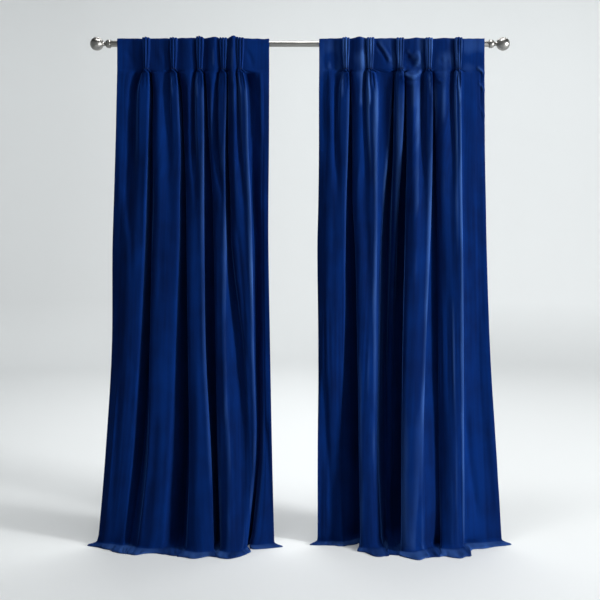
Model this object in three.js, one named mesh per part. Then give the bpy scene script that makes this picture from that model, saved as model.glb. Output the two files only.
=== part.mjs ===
// A pair of velvet curtains with triple pinch pleats, hanging from one rod with ball finials.
// Each curtain is one thin sheet: a flat, stiffened heading gathered into five pleats, the folds that
// open out below the tack of each pleat, and a hem that is a little too long and turns out along the
// floor. Fabric tabs sewn to the back of the heading carry the sheet on the rod.
//
// Millimetres, +Z up, +X along the rod to the right, and the room is on the -Y side. The origin is
// the middle of the rod, on its axis.

import * as THREE from 'three';

// ---- Rod and finials ----

const ROD_DIAMETER = 25.4;
const ROD_SIDES = 32;
const FINIAL_SPAN = 1683;          // from the centre of one ball to the centre of the other
const BALL_DIAMETER = 56;
const NECK_DIAMETER = 17;
const COLLAR_DIAMETER = 35;
const COLLAR_LENGTH = 22;
const COLLAR_FACE_TO_BALL = 57.5;  // from the collar's inner face to the centre of the ball
const COLLAR_CHAMFER = 1.5;
// The collar rounds off towards the neck: shares of its radius and of its length.
const COLLAR_ROUND = [
  { radius: 1, along: 0.45 },
  { radius: 0.92, along: 0.72 },
  { radius: 0.72, along: 0.92 },
];
const FINIAL_SIDES = 24;
const BALL_STEPS = 9;

// ---- Curtain cloth ----

const CLOTH_THICKNESS = 1.5;
const FLAT_WIDTH = 1321;           // one curtain pressed flat, side hem to side hem
const FLOOR_Z = -2075;
const GAP = 0.3;                   // between pieces that touch
const MITRE_LIMIT = 1.4;           // most by which a sharp turn pushes a layer of the cloth outwards

// ---- Heading ----

const HEADING_TOP_Z = 19;
const TACK_Z = -108;               // where the fingers of a pleat are stitched together
const PLEAT_COUNT = 5;
const FINGERS = 3;
const PLEAT_CLOTH = 158;           // flat cloth that one pleat takes in
const PLEAT_WIDTH_TOP = 31;
const PLEAT_WIDTH_TACK = 20;
const FINGER_TIP = 1 / 4;          // shares of a finger's pitch: in from each side at its tip,
const FINGER_BASE = 1 / 6;         // and in from each side where it meets the next finger

// A space between two pleats swells forward: shares of its width, and of how far it swells.
const SWELL = [
  { along: 0.1, forward: 0.12 },
  { along: 0.3, forward: 0.55 },
  { along: 0.55, forward: 0.94 },
  { along: 0.75, forward: 1 },
  { along: 0.92, forward: 0.55 },
];

// ---- Tabs on the back of the heading ----

const TAB_WIDTH = 38;
const TAB_THICKNESS = 1.4;
const TAB_TOP_SEAM = 8;            // length of tab sewn flat below the rod's axis, at its upper end
const TAB_LOW_SEAM_Z = -88;
const TAB_LOW_SEAM = 12;
const TAB_ARC_STEPS = 14;
const END_TAB_INSET = 32;          // from a side edge to the middle of the tab nearest it

// The tab fills the space between the rod and the heading, with a gap on each side of it.
const TAB_RADIUS = ROD_DIAMETER / 2 + GAP + TAB_THICKNESS / 2;
const HEADING_Y = -(TAB_RADIUS + TAB_THICKNESS / 2 + GAP + CLOTH_THICKNESS / 2);

// ---- Columns of the sheet ----

const END_COLUMNS = 5;
const SPACE_COLUMNS = SWELL.length + 1;
const PLEAT_COLUMNS = 4 * FINGERS - 1;
const SAMPLES_PER_KNOT = 16;

// ---- Shape of a fold ----

const RIDGE_ROUND = 9;             // depth of the rounded edge of a ridge, beside a deep recess
const RIDGE_SHARE = 0.2;           // and the most of the recess's depth that it takes up
const RIDGE_STEP = 1.5;
const UNDERCUT = 14;               // how far a flank leans back under its ridge where fall is -1
const FLANK_HALF = 0.5;
const LENS_AT_TACK = 21;           // width of a pleat just below its tack
const LIP_BACK = 6;
const LIP = { along: 0.55, forward: 0.75 };
const SHALLOWEST = 12;             // limits of the depth of the recesses
const DEEPEST = 220;

// Between each pair of heights something changes over: the pleats open out below their tacks, their
// left sides melt into the faces of the folds, the shoulders sharpen, and the cloth that the tacks hold
// in place is let go.
const OPENS = { from: 104, to: 205 };
const MELTS = { from: 260, to: 640 };
const SHARPENS = { from: 300, to: 900 };
const LETS_GO = { from: 180, to: 620 };
const CORNER_SOFT = 7;
const CORNER_SHARP = 3;

// ---- Hem ----

// Height above the floor and share of the way out, down the turn of the hem.
const HEM_ROWS = [
  { height: 12, share: 0.12 },
  { height: 7.5, share: 0.55 },
  { height: 1, share: 1 },
];
const HEM_AIM = 19;                // how far along its own front a column looks for the outline
const HEM_SHORTEST = 22;
const HEM_LONGEST = 105;
const HEM_HIDDEN = 0.35;           // share of the way out where the cloth lies deep in a recess
const HEM_FAN = 34;                // how far the hem spreads past each side edge
const HEM_FAN_CLOTH = 55;
const HEM_SMOOTHING = 3;
const FACES_ROOM = 0.35;           // least x of a column's direction that counts as facing the room

// Heights at which the folds are laid out. The lists in a fold's row follow them, from top to floor. The
// sheet has a row of points at each of the row levels, 0.5 being half way from the first to the second.
const LEVELS = [-200, -440, -850, -1270, -1690, -2058];
const ROW_LEVELS = [0, 0.5, 1, 2, 3, 4, 5];

// Just below the tacks the fingers spread and flatten out, and the heading's shape passes into the
// first level's.
const OPENING_ROWS = [
  { z: -128, pleatWidth: 24, fingers: 0.75, share: 0.2 },
  { z: -158, pleatWidth: 30, fingers: 0.4, share: 0.6 },
];

// Each curtain: where its pleats stand along the rod, its side edges, how far its spaces swell, the
// outline of its hem on the floor, and one row for each fold. x is a place along the rod and front a
// distance before the rod's axis. The face of a fold runs from its shoulder over crest and valley to its
// ridge, and beyond holds what is left of it on the right of the ridge. recess lies on the right, and
// deep is its depth behind the face as a share of the deepest. Where fall is above 0 the cloth slopes
// from the ridge into the recess by that share of the way; below 0 the ridge overhangs the recess. rise
// says where the other flank is half way up. mark numbers the side of a pleat at which the recess lies
// in the flat cloth, foot the side at which the pleat rises, lens is the width of the pleat where it has
// opened, and slack is the most cloth that the recess takes from the pleat below the tack.
const LEFT_CURTAIN = {
  name: 'left',
  pleats: [-634, -521, -413, -316, -247],
  heading: [-755, -127],
  swells: [7, 15, 18, 31],
  leftEdge: { x: [-757, -762, -774, -778, -804, -841], front: [15, 15, 15, 12, 8, 0] },
  knee: { x: [-158, -164, -160, -159, -155, -200], front: [21, 19, 14, 14, 18, 38] },
  rightEdge: { x: [-127, -128, -130, -123, -115, -106], front: [20, 23, 24, 22, 20, 17] },
  rise: [0.4, 0.62, 0.72, 0.74, 0.74, 0.6],
  hem: [
    { x: -905, front: 40 }, { x: -871, front: 44 }, { x: -760, front: 96 }, { x: -652, front: 141 },
    { x: -615, front: 112 }, { x: -550, front: 124 }, { x: -470, front: 160 }, { x: -404, front: 188 },
    { x: -371, front: 150 }, { x: -288, front: 185 }, { x: -238, front: 148 }, { x: -222, front: 66 },
    { x: -160, front: 56 }, { x: -97, front: 44 },
  ],
  folds: [
    {
      mark: 2,
      foot: 1,
      slack: 62,
      lens: 40,
      fall: [-0.1, -0.1, 0.25, 0.4, 0.45, 0.5],
      shoulder: { x: [-740, -745, -738, -742, -770, -810], front: [16, 19, 28, 38, 40, 16] },
      crest: { x: [-712, -718, -706, -718, -742, -778], front: [17, 18, 46, 50, 44, 22] },
      valley: { x: [-682, -690, -688, -694, -715, -750], front: [-12, -12, 46, 54, 47, 32] },
      ridge: { x: [-622, -627, -640, -660, -686, -722], front: [40, 50, 56, 54, 48, 40] },
      beyond: [],
      recess: { x: [-611, -614, -622, -626, -650, -698], deep: [0.6, 0.9, 0.95, 0.85, 0.6, 0.12] },
    },
    {
      mark: 4,
      foot: 3,
      slack: 62,
      lens: 29,
      fall: [-0.1, -0.1, 0.15, 0.35, 0.5, 0.5],
      shoulder: { x: [-600, -600, -605, -614, -621, -664], front: [18, 30, 46, 57, 70, 66] },
      crest: { x: [-582, -579, -576, -588, -600, -640], front: [25, 42, 58, 66, 72, 76] },
      valley: { x: [-537, -542, -539, -552, -571, -604], front: [10, 36, 57, 66, 76, 86] },
      ridge: { x: [-503, -493, -498, -512, -531, -558], front: [42, 52, 58, 62, 72, 80] },
      beyond: [],
      recess: { x: [-491, -480, -463, -460, -464, -482], deep: [0.6, 1, 1, 1, 0.95, 0.3] },
    },
    {
      mark: 6,
      foot: 5,
      slack: 62,
      lens: 29,
      fall: [-0.2, -0.3, -0.4, -0.4, -0.4, -0.4],
      shoulder: { x: [-481, -470, -462, -455, -449, -459], front: [18, 22, 56, 74, 78, 104] },
      crest: { x: [-457, -452, -438, -430, -414, -412], front: [33, 32, 66, 84, 98, 130] },
      valley: { x: [-436, -434, -417, -408, -390, -386], front: [8, 16, 68, 85, 101, 128] },
      ridge: { x: [-398, -395, -391, -384, -361, -349], front: [44, 54, 74, 88, 100, 118] },
      beyond: [],
      recess: { x: [-389, -378, -350, -350, -344, -334], deep: [0.6, 1, 1, 1, 1, 0.8] },
    },
    {
      mark: 8,
      foot: 7,
      slack: 62,
      lens: 29,
      fall: [-0.1, -0.2, 0.1, 0.4, 0.5, 0.5],
      shoulder: { x: [-378, -366, -350, -341, -333, -320], front: [20, 24, 60, 72, 80, 108] },
      crest: { x: [-363, -362, -328, -322, -304, -296], front: [32, 28, 69, 80, 98, 126] },
      valley: { x: [-339, -333, -312, -313, -293, -281], front: [8, 20, 73, 84, 102, 128] },
      ridge: { x: [-305, -309, -302, -302, -280, -267], front: [42, 52, 74, 82, 101, 122] },
      beyond: [],
      recess: { x: [-296, -298, -284, -246, -240, -238], deep: [0.55, 0.9, 0.7, 0.3, 0.14, 0.08] },
    },
    {
      mark: 10,
      foot: 9,
      slack: 62,
      lens: 27,
      fall: [-0.2, -0.3, -0.5, -0.5, -0.5, -0.5],
      shoulder: { x: [-288, -288, -276, -226, -212, -227], front: [28, 36, 54, 76, 88, 92] },
      crest: { x: [-270, -267, -254, -213, -201, -224], front: [48, 51, 68, 81, 90, 88] },
      valley: { x: [-257, -253, -222, -202, -193, -221], front: [8, 38, 70, 83, 91, 80] },
      ridge: { x: [-220, -213, -196, -189, -182, -218], front: [44, 55, 78, 84, 90, 68] },
      beyond: [],
      recess: { x: [-206, -199, -185, -176, -173, -206], deep: [0.42, 0.62, 0.85, 0.9, 0.9, 0.9] },
    },
  ],
};

const RIGHT_CURTAIN = {
  name: 'right',
  pleats: [189, 290, 413, 531, 653],
  heading: [79, 762],
  swells: [16, 9, 8, 10],
  leftEdge: { x: [78, 78, 72, 76, 73, 72], front: [15, 15, 15, 15, 8, -13] },
  knee: { x: [716, 716, 720, 730, 740, 750], front: [24, 26, 24, 21, 17, 8] },
  rightEdge: { x: [762, 763, 770, 784, 811, 840], front: [15, 17, 22, 24, 14, -18] },
  rise: [0.4, 0.65, 0.8, 0.8, 0.7, 0.6],
  hem: [
    { x: 30, front: 50 }, { x: 63, front: 54 }, { x: 160, front: 70 }, { x: 258, front: 84 },
    { x: 291, front: 150 }, { x: 402, front: 136 }, { x: 448, front: 196 }, { x: 520, front: 172 },
    { x: 587, front: 150 }, { x: 626, front: 174 }, { x: 740, front: 112 }, { x: 872, front: 40 },
    { x: 900, front: 30 },
  ],
  folds: [
    {
      mark: 2,
      foot: 1,
      slack: 62,
      lens: 36,
      fall: [-0.2, -0.3, 0, 0.35, 0.5, 0.5],
      shoulder: { x: [96, 101, 105, 88, 89, 86], front: [15, 22, 40, 30, 6, -12] },
      crest: { x: [133, 130, 129, 121, 121, 108], front: [26, 34, 48, 40, 14, -8] },
      valley: { x: [158, 150, 154, 148, 145, 148], front: [8, 22, 49, 40, 10, -10] },
      ridge: { x: [201, 195, 185, 178, 168, 182], front: [42, 48, 50, 34, 8, 0] },
      beyond: [],
      recess: { x: [212, 220, 240, 250, 255, 248], deep: [0.55, 0.9, 1, 1, 1, 0.4] },
    },
    {
      mark: 5,
      foot: 3,
      slack: 22,
      lens: 37,
      fall: [0, 0.1, 0.25, 0.3, 0.3, 0.3],
      shoulder: { x: [222, 224, 229, 238, 243, 250], front: [20, 26, 40, 54, 64, 70] },
      crest: { x: [252, 246, 248, 268, 275, 286], front: [28, 38, 51, 62, 70, 78] },
      valley: { x: [271, 275, 276, 288, 291, 298], front: [10, 30, 48, 61, 68, 76] },
      ridge: { x: [315, 312, 310, 304, 302, 311], front: [44, 52, 59, 59, 61, 73] },
      beyond: [
        { x: [328, 326, 319, 315, 312, 322], front: [12, 10, 32, 44, 48, 64] },
        { x: [380, 367, 334, 326, 322, 337], front: [12, 6, 0, 8, 16, 58] },
      ],
      recess: { x: [397, 391, 368, 360, 354, 356], deep: [0.4, 0.65, 1, 1, 1, 0.6] },
    },
    {
      mark: 6,
      foot: 0,
      slack: 30,
      lens: 28,
      fall: [-0.2, -0.2, 0.1, 0.3, 0.3, 0.3],
      shoulder: { x: [397, 393, 380, 368, 364, 366], front: [13, 10, -30, -44, -52, 40] },
      crest: { x: [400, 397, 387, 374, 370, 374], front: [20, 18, -26, -40, -48, 44] },
      valley: { x: [399, 398, 393, 380, 376, 382], front: [28, 28, -14, -38, -46, 48] },
      ridge: { x: [427, 419, 402, 388, 384, 392], front: [44, 38, -22, -38, -46, 50] },
      beyond: [],
      recess: { x: [444, 457, 456, 447, 439, 412], deep: [0.5, 0.9, 0.7, 0.6, 0.5, 0.3] },
    },
    {
      mark: 8,
      foot: 7,
      slack: 62,
      lens: 24,
      fall: [-0.2, -0.3, -0.3, -0.1, 0.15, 0.4],
      shoulder: { x: [446, 446, 432, 421, 414, 412], front: [22, 38, 62, 84, 102, 118] },
      crest: { x: [467, 461, 466, 456, 446, 434], front: [46, 60, 74, 92, 109, 127] },
      valley: { x: [508, 505, 503, 485, 482, 458], front: [6, 30, 68, 89, 104, 124] },
      ridge: { x: [544, 541, 530, 511, 499, 502], front: [42, 54, 68, 80, 92, 102] },
      beyond: [],
      recess: { x: [556, 566, 578, 585, 587, 574], deep: [0.5, 0.9, 1, 1, 0.95, 0.5] },
    },
    {
      mark: 10,
      foot: 9,
      slack: 62,
      lens: 21,
      fall: [-0.1, -0.1, -0.1, -0.1, 0, 0],
      shoulder: { x: [562, 568, 570, 570, 571, 575], front: [20, 28, 28, 34, 48, 80] },
      crest: { x: [598, 589, 594, 598, 606, 616], front: [32, 40, 42, 52, 68, 88] },
      valley: { x: [635, 630, 622, 630, 636, 644], front: [10, 30, 47, 60, 72, 81] },
      ridge: { x: [660, 661, 665, 668, 668, 668], front: [42, 48, 57, 62, 66, 68] },
      beyond: [],
      recess: { x: [670, 671, 677, 680, 680, 683], deep: [0.14, 0.24, 0.32, 0.36, 0.42, 0.4] },
    },
  ],
};

// ---- Finishes ----

const VELVET_LEFT = { color: 0x0b2458, roughness: 0.9, metalness: 0 };
const VELVET_RIGHT = { color: 0x10306e, roughness: 0.9, metalness: 0 };
const TAB_CLOTH = { color: 0x0a1c46, roughness: 0.9, metalness: 0 };
const NICKEL = { color: 0xa9a6a1, roughness: 0.32, metalness: 1 };

// ---- Small helpers ----

const lerp = THREE.MathUtils.lerp;

// The value between low and high at which a rising function reaches a target.
function solveRising(rising, target, low, high) {
  for (let step = 0; step < 50; step += 1) {
    const middle = (low + high) / 2;
    if (rising(middle) < target) low = middle;
    else high = middle;
  }
  return (low + high) / 2;
}

function pathLength(points) {
  return points.slice(1).reduce((sum, point, i) => sum + point.distanceTo(points[i]), 0);
}

function addMesh(group, name, geometry, finish) {
  const mesh = new THREE.Mesh(geometry, new THREE.MeshStandardMaterial(finish));
  mesh.name = name;
  group.add(mesh);
  return mesh;
}

// ---- Heading sections, seen from above ----

// A finger is two points at its tip and two where it stands on the heading. Neighbouring fingers keep a
// narrow flat of cloth between them.
function pleatPoints(middle, width, depth) {
  const pitch = width / FINGERS;
  const points = [];
  for (let finger = 0; finger < FINGERS; finger += 1) {
    const left = middle - width / 2 + finger * pitch;
    const baseIn = FINGER_BASE * pitch;
    const tipIn = FINGER_TIP * pitch;
    points.push(new THREE.Vector2(left + (finger > 0 ? baseIn : 0), HEADING_Y));
    points.push(new THREE.Vector2(left + tipIn, HEADING_Y - depth));
    points.push(new THREE.Vector2(left + pitch - tipIn, HEADING_Y - depth));
    points.push(new THREE.Vector2(left + pitch - (finger < FINGERS - 1 ? baseIn : 0), HEADING_Y));
  }
  return points;
}

// The cloth between two pleats swells forward where the pleats stand closer than the cloth is wide.
function spacePoints(from, to, swell) {
  return SWELL.map(({ along, forward }) => (
    new THREE.Vector2(lerp(from, to, along), HEADING_Y - forward * swell)
  ));
}

function endPoints(from, to, includeLast) {
  const points = [];
  for (let step = 0; step < END_COLUMNS; step += 1) {
    const along = (includeLast ? step + 1 : step) / END_COLUMNS;
    points.push(new THREE.Vector2(lerp(from, to, along), HEADING_Y));
  }
  return points;
}

function headingPoints(curtain, pleatWidth, fingerDepth) {
  const [left, right] = curtain.heading;
  const half = pleatWidth / 2;
  const points = endPoints(left, curtain.pleats[0] - half, false);
  curtain.pleats.forEach((middle, i) => {
    if (i > 0) {
      const before = curtain.pleats[i - 1] + half;
      points.push(...spacePoints(before, middle - half, curtain.swells[i - 1]));
    }
    points.push(...pleatPoints(middle, pleatWidth, fingerDepth));
  });
  points.push(...endPoints(curtain.pleats[PLEAT_COUNT - 1] + half, right, true));
  return points;
}

// The fingers are as deep as the flat width of the cloth allows, or a share of that.
function headingSection(curtain, pleatWidth, share) {
  const lengthAt = (depth) => pathLength(headingPoints(curtain, pleatWidth, depth));
  const depth = solveRising(lengthAt, FLAT_WIDTH, SHALLOWEST, DEEPEST);
  return headingPoints(curtain, pleatWidth, depth * share);
}

// ---- The flat cloth ----

// Flat distances from the left side edge: the two sides of each pleat in turn, between the side edges.
function pleatMarks(curtain) {
  const [left, right] = curtain.heading;
  const half = PLEAT_WIDTH_TOP / 2;
  const first = curtain.pleats[0] - half - left;
  const last = right - curtain.pleats[PLEAT_COUNT - 1] - half;
  const space = (FLAT_WIDTH - first - last - PLEAT_COUNT * PLEAT_CLOTH) / (PLEAT_COUNT - 1);
  const marks = [0, first];
  for (let pleat = 0; pleat < PLEAT_COUNT; pleat += 1) {
    if (pleat > 0) marks.push(marks[marks.length - 1] + space);
    marks.push(marks[marks.length - 1] + PLEAT_CLOTH);
  }
  return [...marks, FLAT_WIDTH];
}

function columnPlaces(marks) {
  const places = [0];
  for (let stretch = 0; stretch < marks.length - 1; stretch += 1) {
    const isEnd = stretch === 0 || stretch === marks.length - 2;
    const between = stretch % 2 === 1 ? PLEAT_COLUMNS : SPACE_COLUMNS;
    const count = isEnd ? END_COLUMNS : between;
    for (let step = 1; step <= count; step += 1) {
      places.push(lerp(marks[stretch], marks[stretch + 1], step / count));
    }
  }
  return places;
}

// ---- Fold sections, seen from above ----

const valueAt = (values, level) => lerp(values[Math.floor(level)], values[Math.ceil(level)], level % 1);

const traceAt = (trace, level) => ({ x: valueAt(trace.x, level), y: -valueAt(trace.front, level) });

const changeover = (level, { from, to }) => (
  THREE.MathUtils.smoothstep(-valueAt(LEVELS, level), from, to)
);

// The left side of an opened pleat, which melts into the face further down.
function lipPoint(fold, level) {
  const valley = traceAt(fold.valley, level);
  const ridge = traceAt(fold.ridge, level);
  const melted = changeover(level, MELTS);
  const width = lerp(LENS_AT_TACK, fold.lens, changeover(level, OPENS));
  return {
    x: lerp(ridge.x - width, lerp(valley.x, ridge.x, LIP.along), melted),
    y: lerp(ridge.y + LIP_BACK, lerp(valley.y, ridge.y, LIP.forward), melted),
  };
}

function facePoints(fold, level) {
  return [
    traceAt(fold.shoulder, level),
    traceAt(fold.crest, level),
    traceAt(fold.valley, level),
    lipPoint(fold, level),
    traceAt(fold.ridge, level),
    ...fold.beyond.map((trace) => traceAt(trace, level)),
  ];
}

// The knots of one level's section, and which of them are the feet of pleats and the bottoms of
// recesses.
function foldKnots(curtain, level, fullDepth) {
  const rise = valueAt(curtain.rise, level);
  const corner = lerp(CORNER_SOFT, CORNER_SHARP, changeover(level, SHARPENS));
  const knots = [];
  const feet = [];
  const recesses = [];
  const add = ({ x, y }) => knots.push(new THREE.Vector3(x, y, 0));
  const roundness = (depth) => Math.min(RIDGE_ROUND, RIDGE_SHARE * Math.max(depth, 0));
  let from = traceAt(curtain.leftEdge, level);
  add(from);
  curtain.folds.forEach((fold, i) => {
    const face = facePoints(fold, level);
    const shoulder = face[0];
    const last = face[face.length - 1];
    const deep = valueAt(fold.recess.deep, level);
    const fall = valueAt(fold.fall, level);
    const recess = { x: valueAt(fold.recess.x, level), y: last.y + deep * fullDepth };
    const lean = fall < 0 ? UNDERCUT * fall * deep : fall * (recess.x - last.x);
    add({
      x: lerp(from.x, shoulder.x, i > 0 ? rise : FLANK_HALF),
      y: lerp(from.y, shoulder.y, FLANK_HALF),
    });
    if (i > 0) add({ x: shoulder.x - corner, y: shoulder.y + roundness(from.y - shoulder.y) });
    feet.push(knots.length + 2);
    face.forEach(add);
    add({ x: last.x + RIDGE_STEP, y: last.y + roundness(recess.y - last.y) });
    add({ x: last.x + lean, y: lerp(last.y, recess.y, FLANK_HALF) });
    recesses.push(knots.length);
    add(recess);
    from = recess;
  });
  add(traceAt(curtain.knee, level));
  add(traceAt(curtain.rightEdge, level));
  return { knots, feet, recesses };
}

function smoothCurve(knots) {
  const curve = new THREE.CatmullRomCurve3(knots, false, 'centripetal');
  return curve.getPoints((knots.length - 1) * SAMPLES_PER_KNOT);
}

// Places the columns along a curve. Each pin says which sample of the curve holds which flat distance.
function spreadColumns(fine, pins, places) {
  const along = [0];
  for (let i = 1; i < fine.length; i += 1) along.push(along[i - 1] + fine[i].distanceTo(fine[i - 1]));
  let sample = 0;
  return places.map((place) => {
    const next = Math.max(pins.findIndex((pin) => pin.flat >= place - 1e-6), 1);
    const [start, end] = [pins[next - 1], pins[next]];
    const share = (place - start.flat) / (end.flat - start.flat);
    const wanted = lerp(along[start.sample], along[end.sample], THREE.MathUtils.clamp(share, 0, 1));
    while (sample < fine.length - 2 && along[sample + 1] < wanted) sample += 1;
    const step = Math.max(along[sample + 1] - along[sample], 1e-9);
    const point = fine[sample].clone().lerp(fine[sample + 1], (wanted - along[sample]) / step);
    return new THREE.Vector2(point.x, point.y);
  });
}

// The recesses of a level are made as deep as the flat width of the cloth allows. Just below the tacks
// the cloth of each pleat stays where the heading holds it.
function foldSection(curtain, level) {
  const curveAt = (depth) => smoothCurve(foldKnots(curtain, level, depth).knots);
  const depth = solveRising((value) => pathLength(curveAt(value)), FLAT_WIDTH, SHALLOWEST, DEEPEST);
  const { knots, feet, recesses } = foldKnots(curtain, level, depth);
  const fine = smoothCurve(knots);
  const held = 1 - changeover(level, LETS_GO);
  const marks = pleatMarks(curtain);
  const lengthTo = (from, to) => pathLength(fine.slice(from, to + 1));
  const pins = [{ sample: 0, flat: 0 }];
  curtain.folds.forEach((fold, i) => {
    const before = pins[pins.length - 1];
    const bottom = recesses[i] * SAMPLES_PER_KNOT;
    const taken = held * Math.min(depth * valueAt(fold.recess.deep, level), fold.slack);
    const flat = marks[fold.mark] + (fold.mark % 2 === 1 ? taken : -taken);
    if (fold.foot > 0) {
      const foot = feet[i] * SAMPLES_PER_KNOT;
      const natural = lengthTo(before.sample, foot) / lengthTo(before.sample, bottom);
      const free = lerp(before.flat, flat, natural);
      pins.push({ sample: foot, flat: lerp(free, marks[fold.foot], held) });
    }
    pins.push({ sample: bottom, flat });
  });
  pins.push({ sample: fine.length - 1, flat: FLAT_WIDTH });
  return spreadColumns(fine, pins, columnPlaces(marks));
}

// ---- The sheet ----

// The front of the hem's outline at a place along the rod.
function outlineFront(outline, x) {
  const next = outline.findIndex((point) => point.x >= x);
  if (next <= 0) return next === 0 ? outline[0].front : outline[outline.length - 1].front;
  const [start, end] = [outline[next - 1], outline[next]];
  return lerp(start.front, end.front, (x - start.x) / (end.x - start.x));
}

// How far and which way each column's hem runs out over the floor. Columns that face the room run to
// the hem's outline, and the others follow their neighbours.
function hemTurns(curtain, section) {
  const places = columnPlaces(pleatMarks(curtain));
  const last = section.length - 1;
  const facing = [];
  section.forEach((point, i) => {
    const before = section[Math.max(i - 1, 0)];
    const along = section[Math.min(i + 1, last)].clone().sub(before).normalize();
    if (along.x <= FACES_ROOM && i > 0 && i < last) return;
    const aim = { x: point.x + along.y * HEM_AIM, y: 0 };
    aim.y = -outlineFront(curtain.hem, aim.x);
    const out = THREE.MathUtils.clamp(point.y - aim.y, HEM_SHORTEST, HEM_LONGEST);
    facing.push({ column: i, turn: new THREE.Vector2(aim.x - point.x, -out) });
  });
  const turns = section.map((point, i) => {
    const next = Math.max(facing.findIndex(({ column }) => column >= i), 1);
    const [start, end] = [facing[next - 1], facing[next]];
    const turn = start.turn.clone().lerp(end.turn, (i - start.column) / (end.column - start.column));
    turn.multiplyScalar(lerp(1, HEM_HIDDEN, THREE.MathUtils.smoothstep(point.y, -45, 5)));
    const fromLeft = Math.exp(-places[i] / HEM_FAN_CLOTH);
    const fromRight = Math.exp((places[i] - FLAT_WIDTH) / HEM_FAN_CLOTH);
    turn.x -= HEM_FAN * (fromLeft - fromRight);
    return turn;
  });
  return turns.map((_, i) => {
    const near = turns.slice(Math.max(i - HEM_SMOOTHING, 0), i + HEM_SMOOTHING + 1);
    return near.reduce((sum, turn) => sum.add(turn), new THREE.Vector2()).divideScalar(near.length);
  });
}

function sheetRows(curtain) {
  const atHeight = (section, z) => section.map((point) => new THREE.Vector3(point.x, point.y, z));
  const sections = ROW_LEVELS.map((level) => foldSection(curtain, level));
  const floor = sections[sections.length - 1];
  const turns = hemTurns(curtain, floor);
  const rows = [
    atHeight(headingSection(curtain, PLEAT_WIDTH_TOP, 1), HEADING_TOP_Z),
    atHeight(headingSection(curtain, PLEAT_WIDTH_TACK, 1), TACK_Z),
  ];
  for (const { z, pleatWidth, fingers, share } of OPENING_ROWS) {
    const pleated = headingSection(curtain, pleatWidth, fingers);
    rows.push(atHeight(pleated.map((point, i) => point.clone().lerp(sections[0][i], share)), z));
  }
  sections.forEach((section, i) => rows.push(atHeight(section, valueAt(LEVELS, ROW_LEVELS[i]))));
  for (const { height, share } of HEM_ROWS) {
    const turned = floor.map((point, i) => point.clone().addScaledVector(turns[i], share));
    rows.push(atHeight(turned, FLOOR_Z + height));
  }
  return rows;
}

// The mean direction through a point of a line of points, and how much the line turns there.
function directionThrough(before, point, after) {
  const directions = [];
  if (before) directions.push(point.clone().sub(before).normalize());
  if (after) directions.push(after.clone().sub(point).normalize());
  const mean = directions.reduce((sum, direction) => sum.add(direction), new THREE.Vector3());
  const straightness = mean.length() / directions.length;
  return { direction: mean.normalize(), straightness };
}

// Moves each point of the grid along the sheet's own normal, and further where the sheet turns, so
// that the cloth keeps its thickness round a fold.
function offsetRows(rows, distance) {
  return rows.map((row, r) => row.map((point, c) => {
    const across = directionThrough(row[c - 1], point, row[c + 1]);
    const down = directionThrough(rows[r - 1]?.[c], point, rows[r + 1]?.[c]);
    const normal = down.direction.clone().cross(across.direction).normalize();
    const mitre = [across, down]
      .map(({ straightness }) => Math.min(1 / straightness, MITRE_LIMIT))
      .reduce((product, stretch) => product * stretch);
    return point.clone().addScaledVector(normal, distance * mitre);
  }));
}

// A closed sheet: the front and back layers of one grid, joined round its border.
function sheetGeometry(rows) {
  const front = offsetRows(rows, CLOTH_THICKNESS / 2);
  const back = offsetRows(rows, -CLOTH_THICKNESS / 2);
  const columns = rows[0].length;
  const layer = rows.length * columns;
  const positions = [...front.flat(), ...back.flat()].flatMap((point) => point.toArray());
  const at = (side, r, c) => side * layer + r * columns + c;
  const indices = [];
  const quad = (a, b, c, d) => indices.push(a, b, c, a, c, d);
  for (let r = 0; r < rows.length - 1; r += 1) {
    for (let c = 0; c < columns - 1; c += 1) {
      quad(at(0, r, c), at(0, r + 1, c), at(0, r + 1, c + 1), at(0, r, c + 1));
      quad(at(1, r, c), at(1, r, c + 1), at(1, r + 1, c + 1), at(1, r + 1, c));
    }
    quad(at(0, r, 0), at(1, r, 0), at(1, r + 1, 0), at(0, r + 1, 0));
    const c = columns - 1;
    quad(at(0, r, c), at(0, r + 1, c), at(1, r + 1, c), at(1, r, c));
  }
  const bottom = rows.length - 1;
  for (let c = 0; c < columns - 1; c += 1) {
    quad(at(0, 0, c), at(0, 0, c + 1), at(1, 0, c + 1), at(1, 0, c));
    quad(at(0, bottom, c), at(1, bottom, c), at(1, bottom, c + 1), at(0, bottom, c + 1));
  }
  const geometry = new THREE.BufferGeometry();
  geometry.setAttribute('position', new THREE.Float32BufferAttribute(positions, 3));
  geometry.setIndex(indices);
  return geometry;
}

// ---- Tabs ----

// Seen from the side: up the back of the heading, over the rod, round behind it and down to the lower
// seam. The strip leaves the rod where a straight run to the seam is tangent to it.
function tabPath() {
  const seamY = -TAB_RADIUS;
  const reach = Math.hypot(seamY, TAB_LOW_SEAM_Z);
  const towardsSeam = Math.atan2(TAB_LOW_SEAM_Z, seamY);
  const leaving = towardsSeam + Math.acos(TAB_RADIUS / reach);
  const points = [new THREE.Vector2(seamY, -TAB_TOP_SEAM)];
  for (let step = 0; step <= TAB_ARC_STEPS; step += 1) {
    const angle = lerp(Math.PI, leaving, step / TAB_ARC_STEPS);
    points.push(new THREE.Vector2(TAB_RADIUS * Math.cos(angle), TAB_RADIUS * Math.sin(angle)));
  }
  points.push(new THREE.Vector2(seamY, TAB_LOW_SEAM_Z));
  points.push(new THREE.Vector2(seamY, TAB_LOW_SEAM_Z - TAB_LOW_SEAM));
  return points;
}

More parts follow.
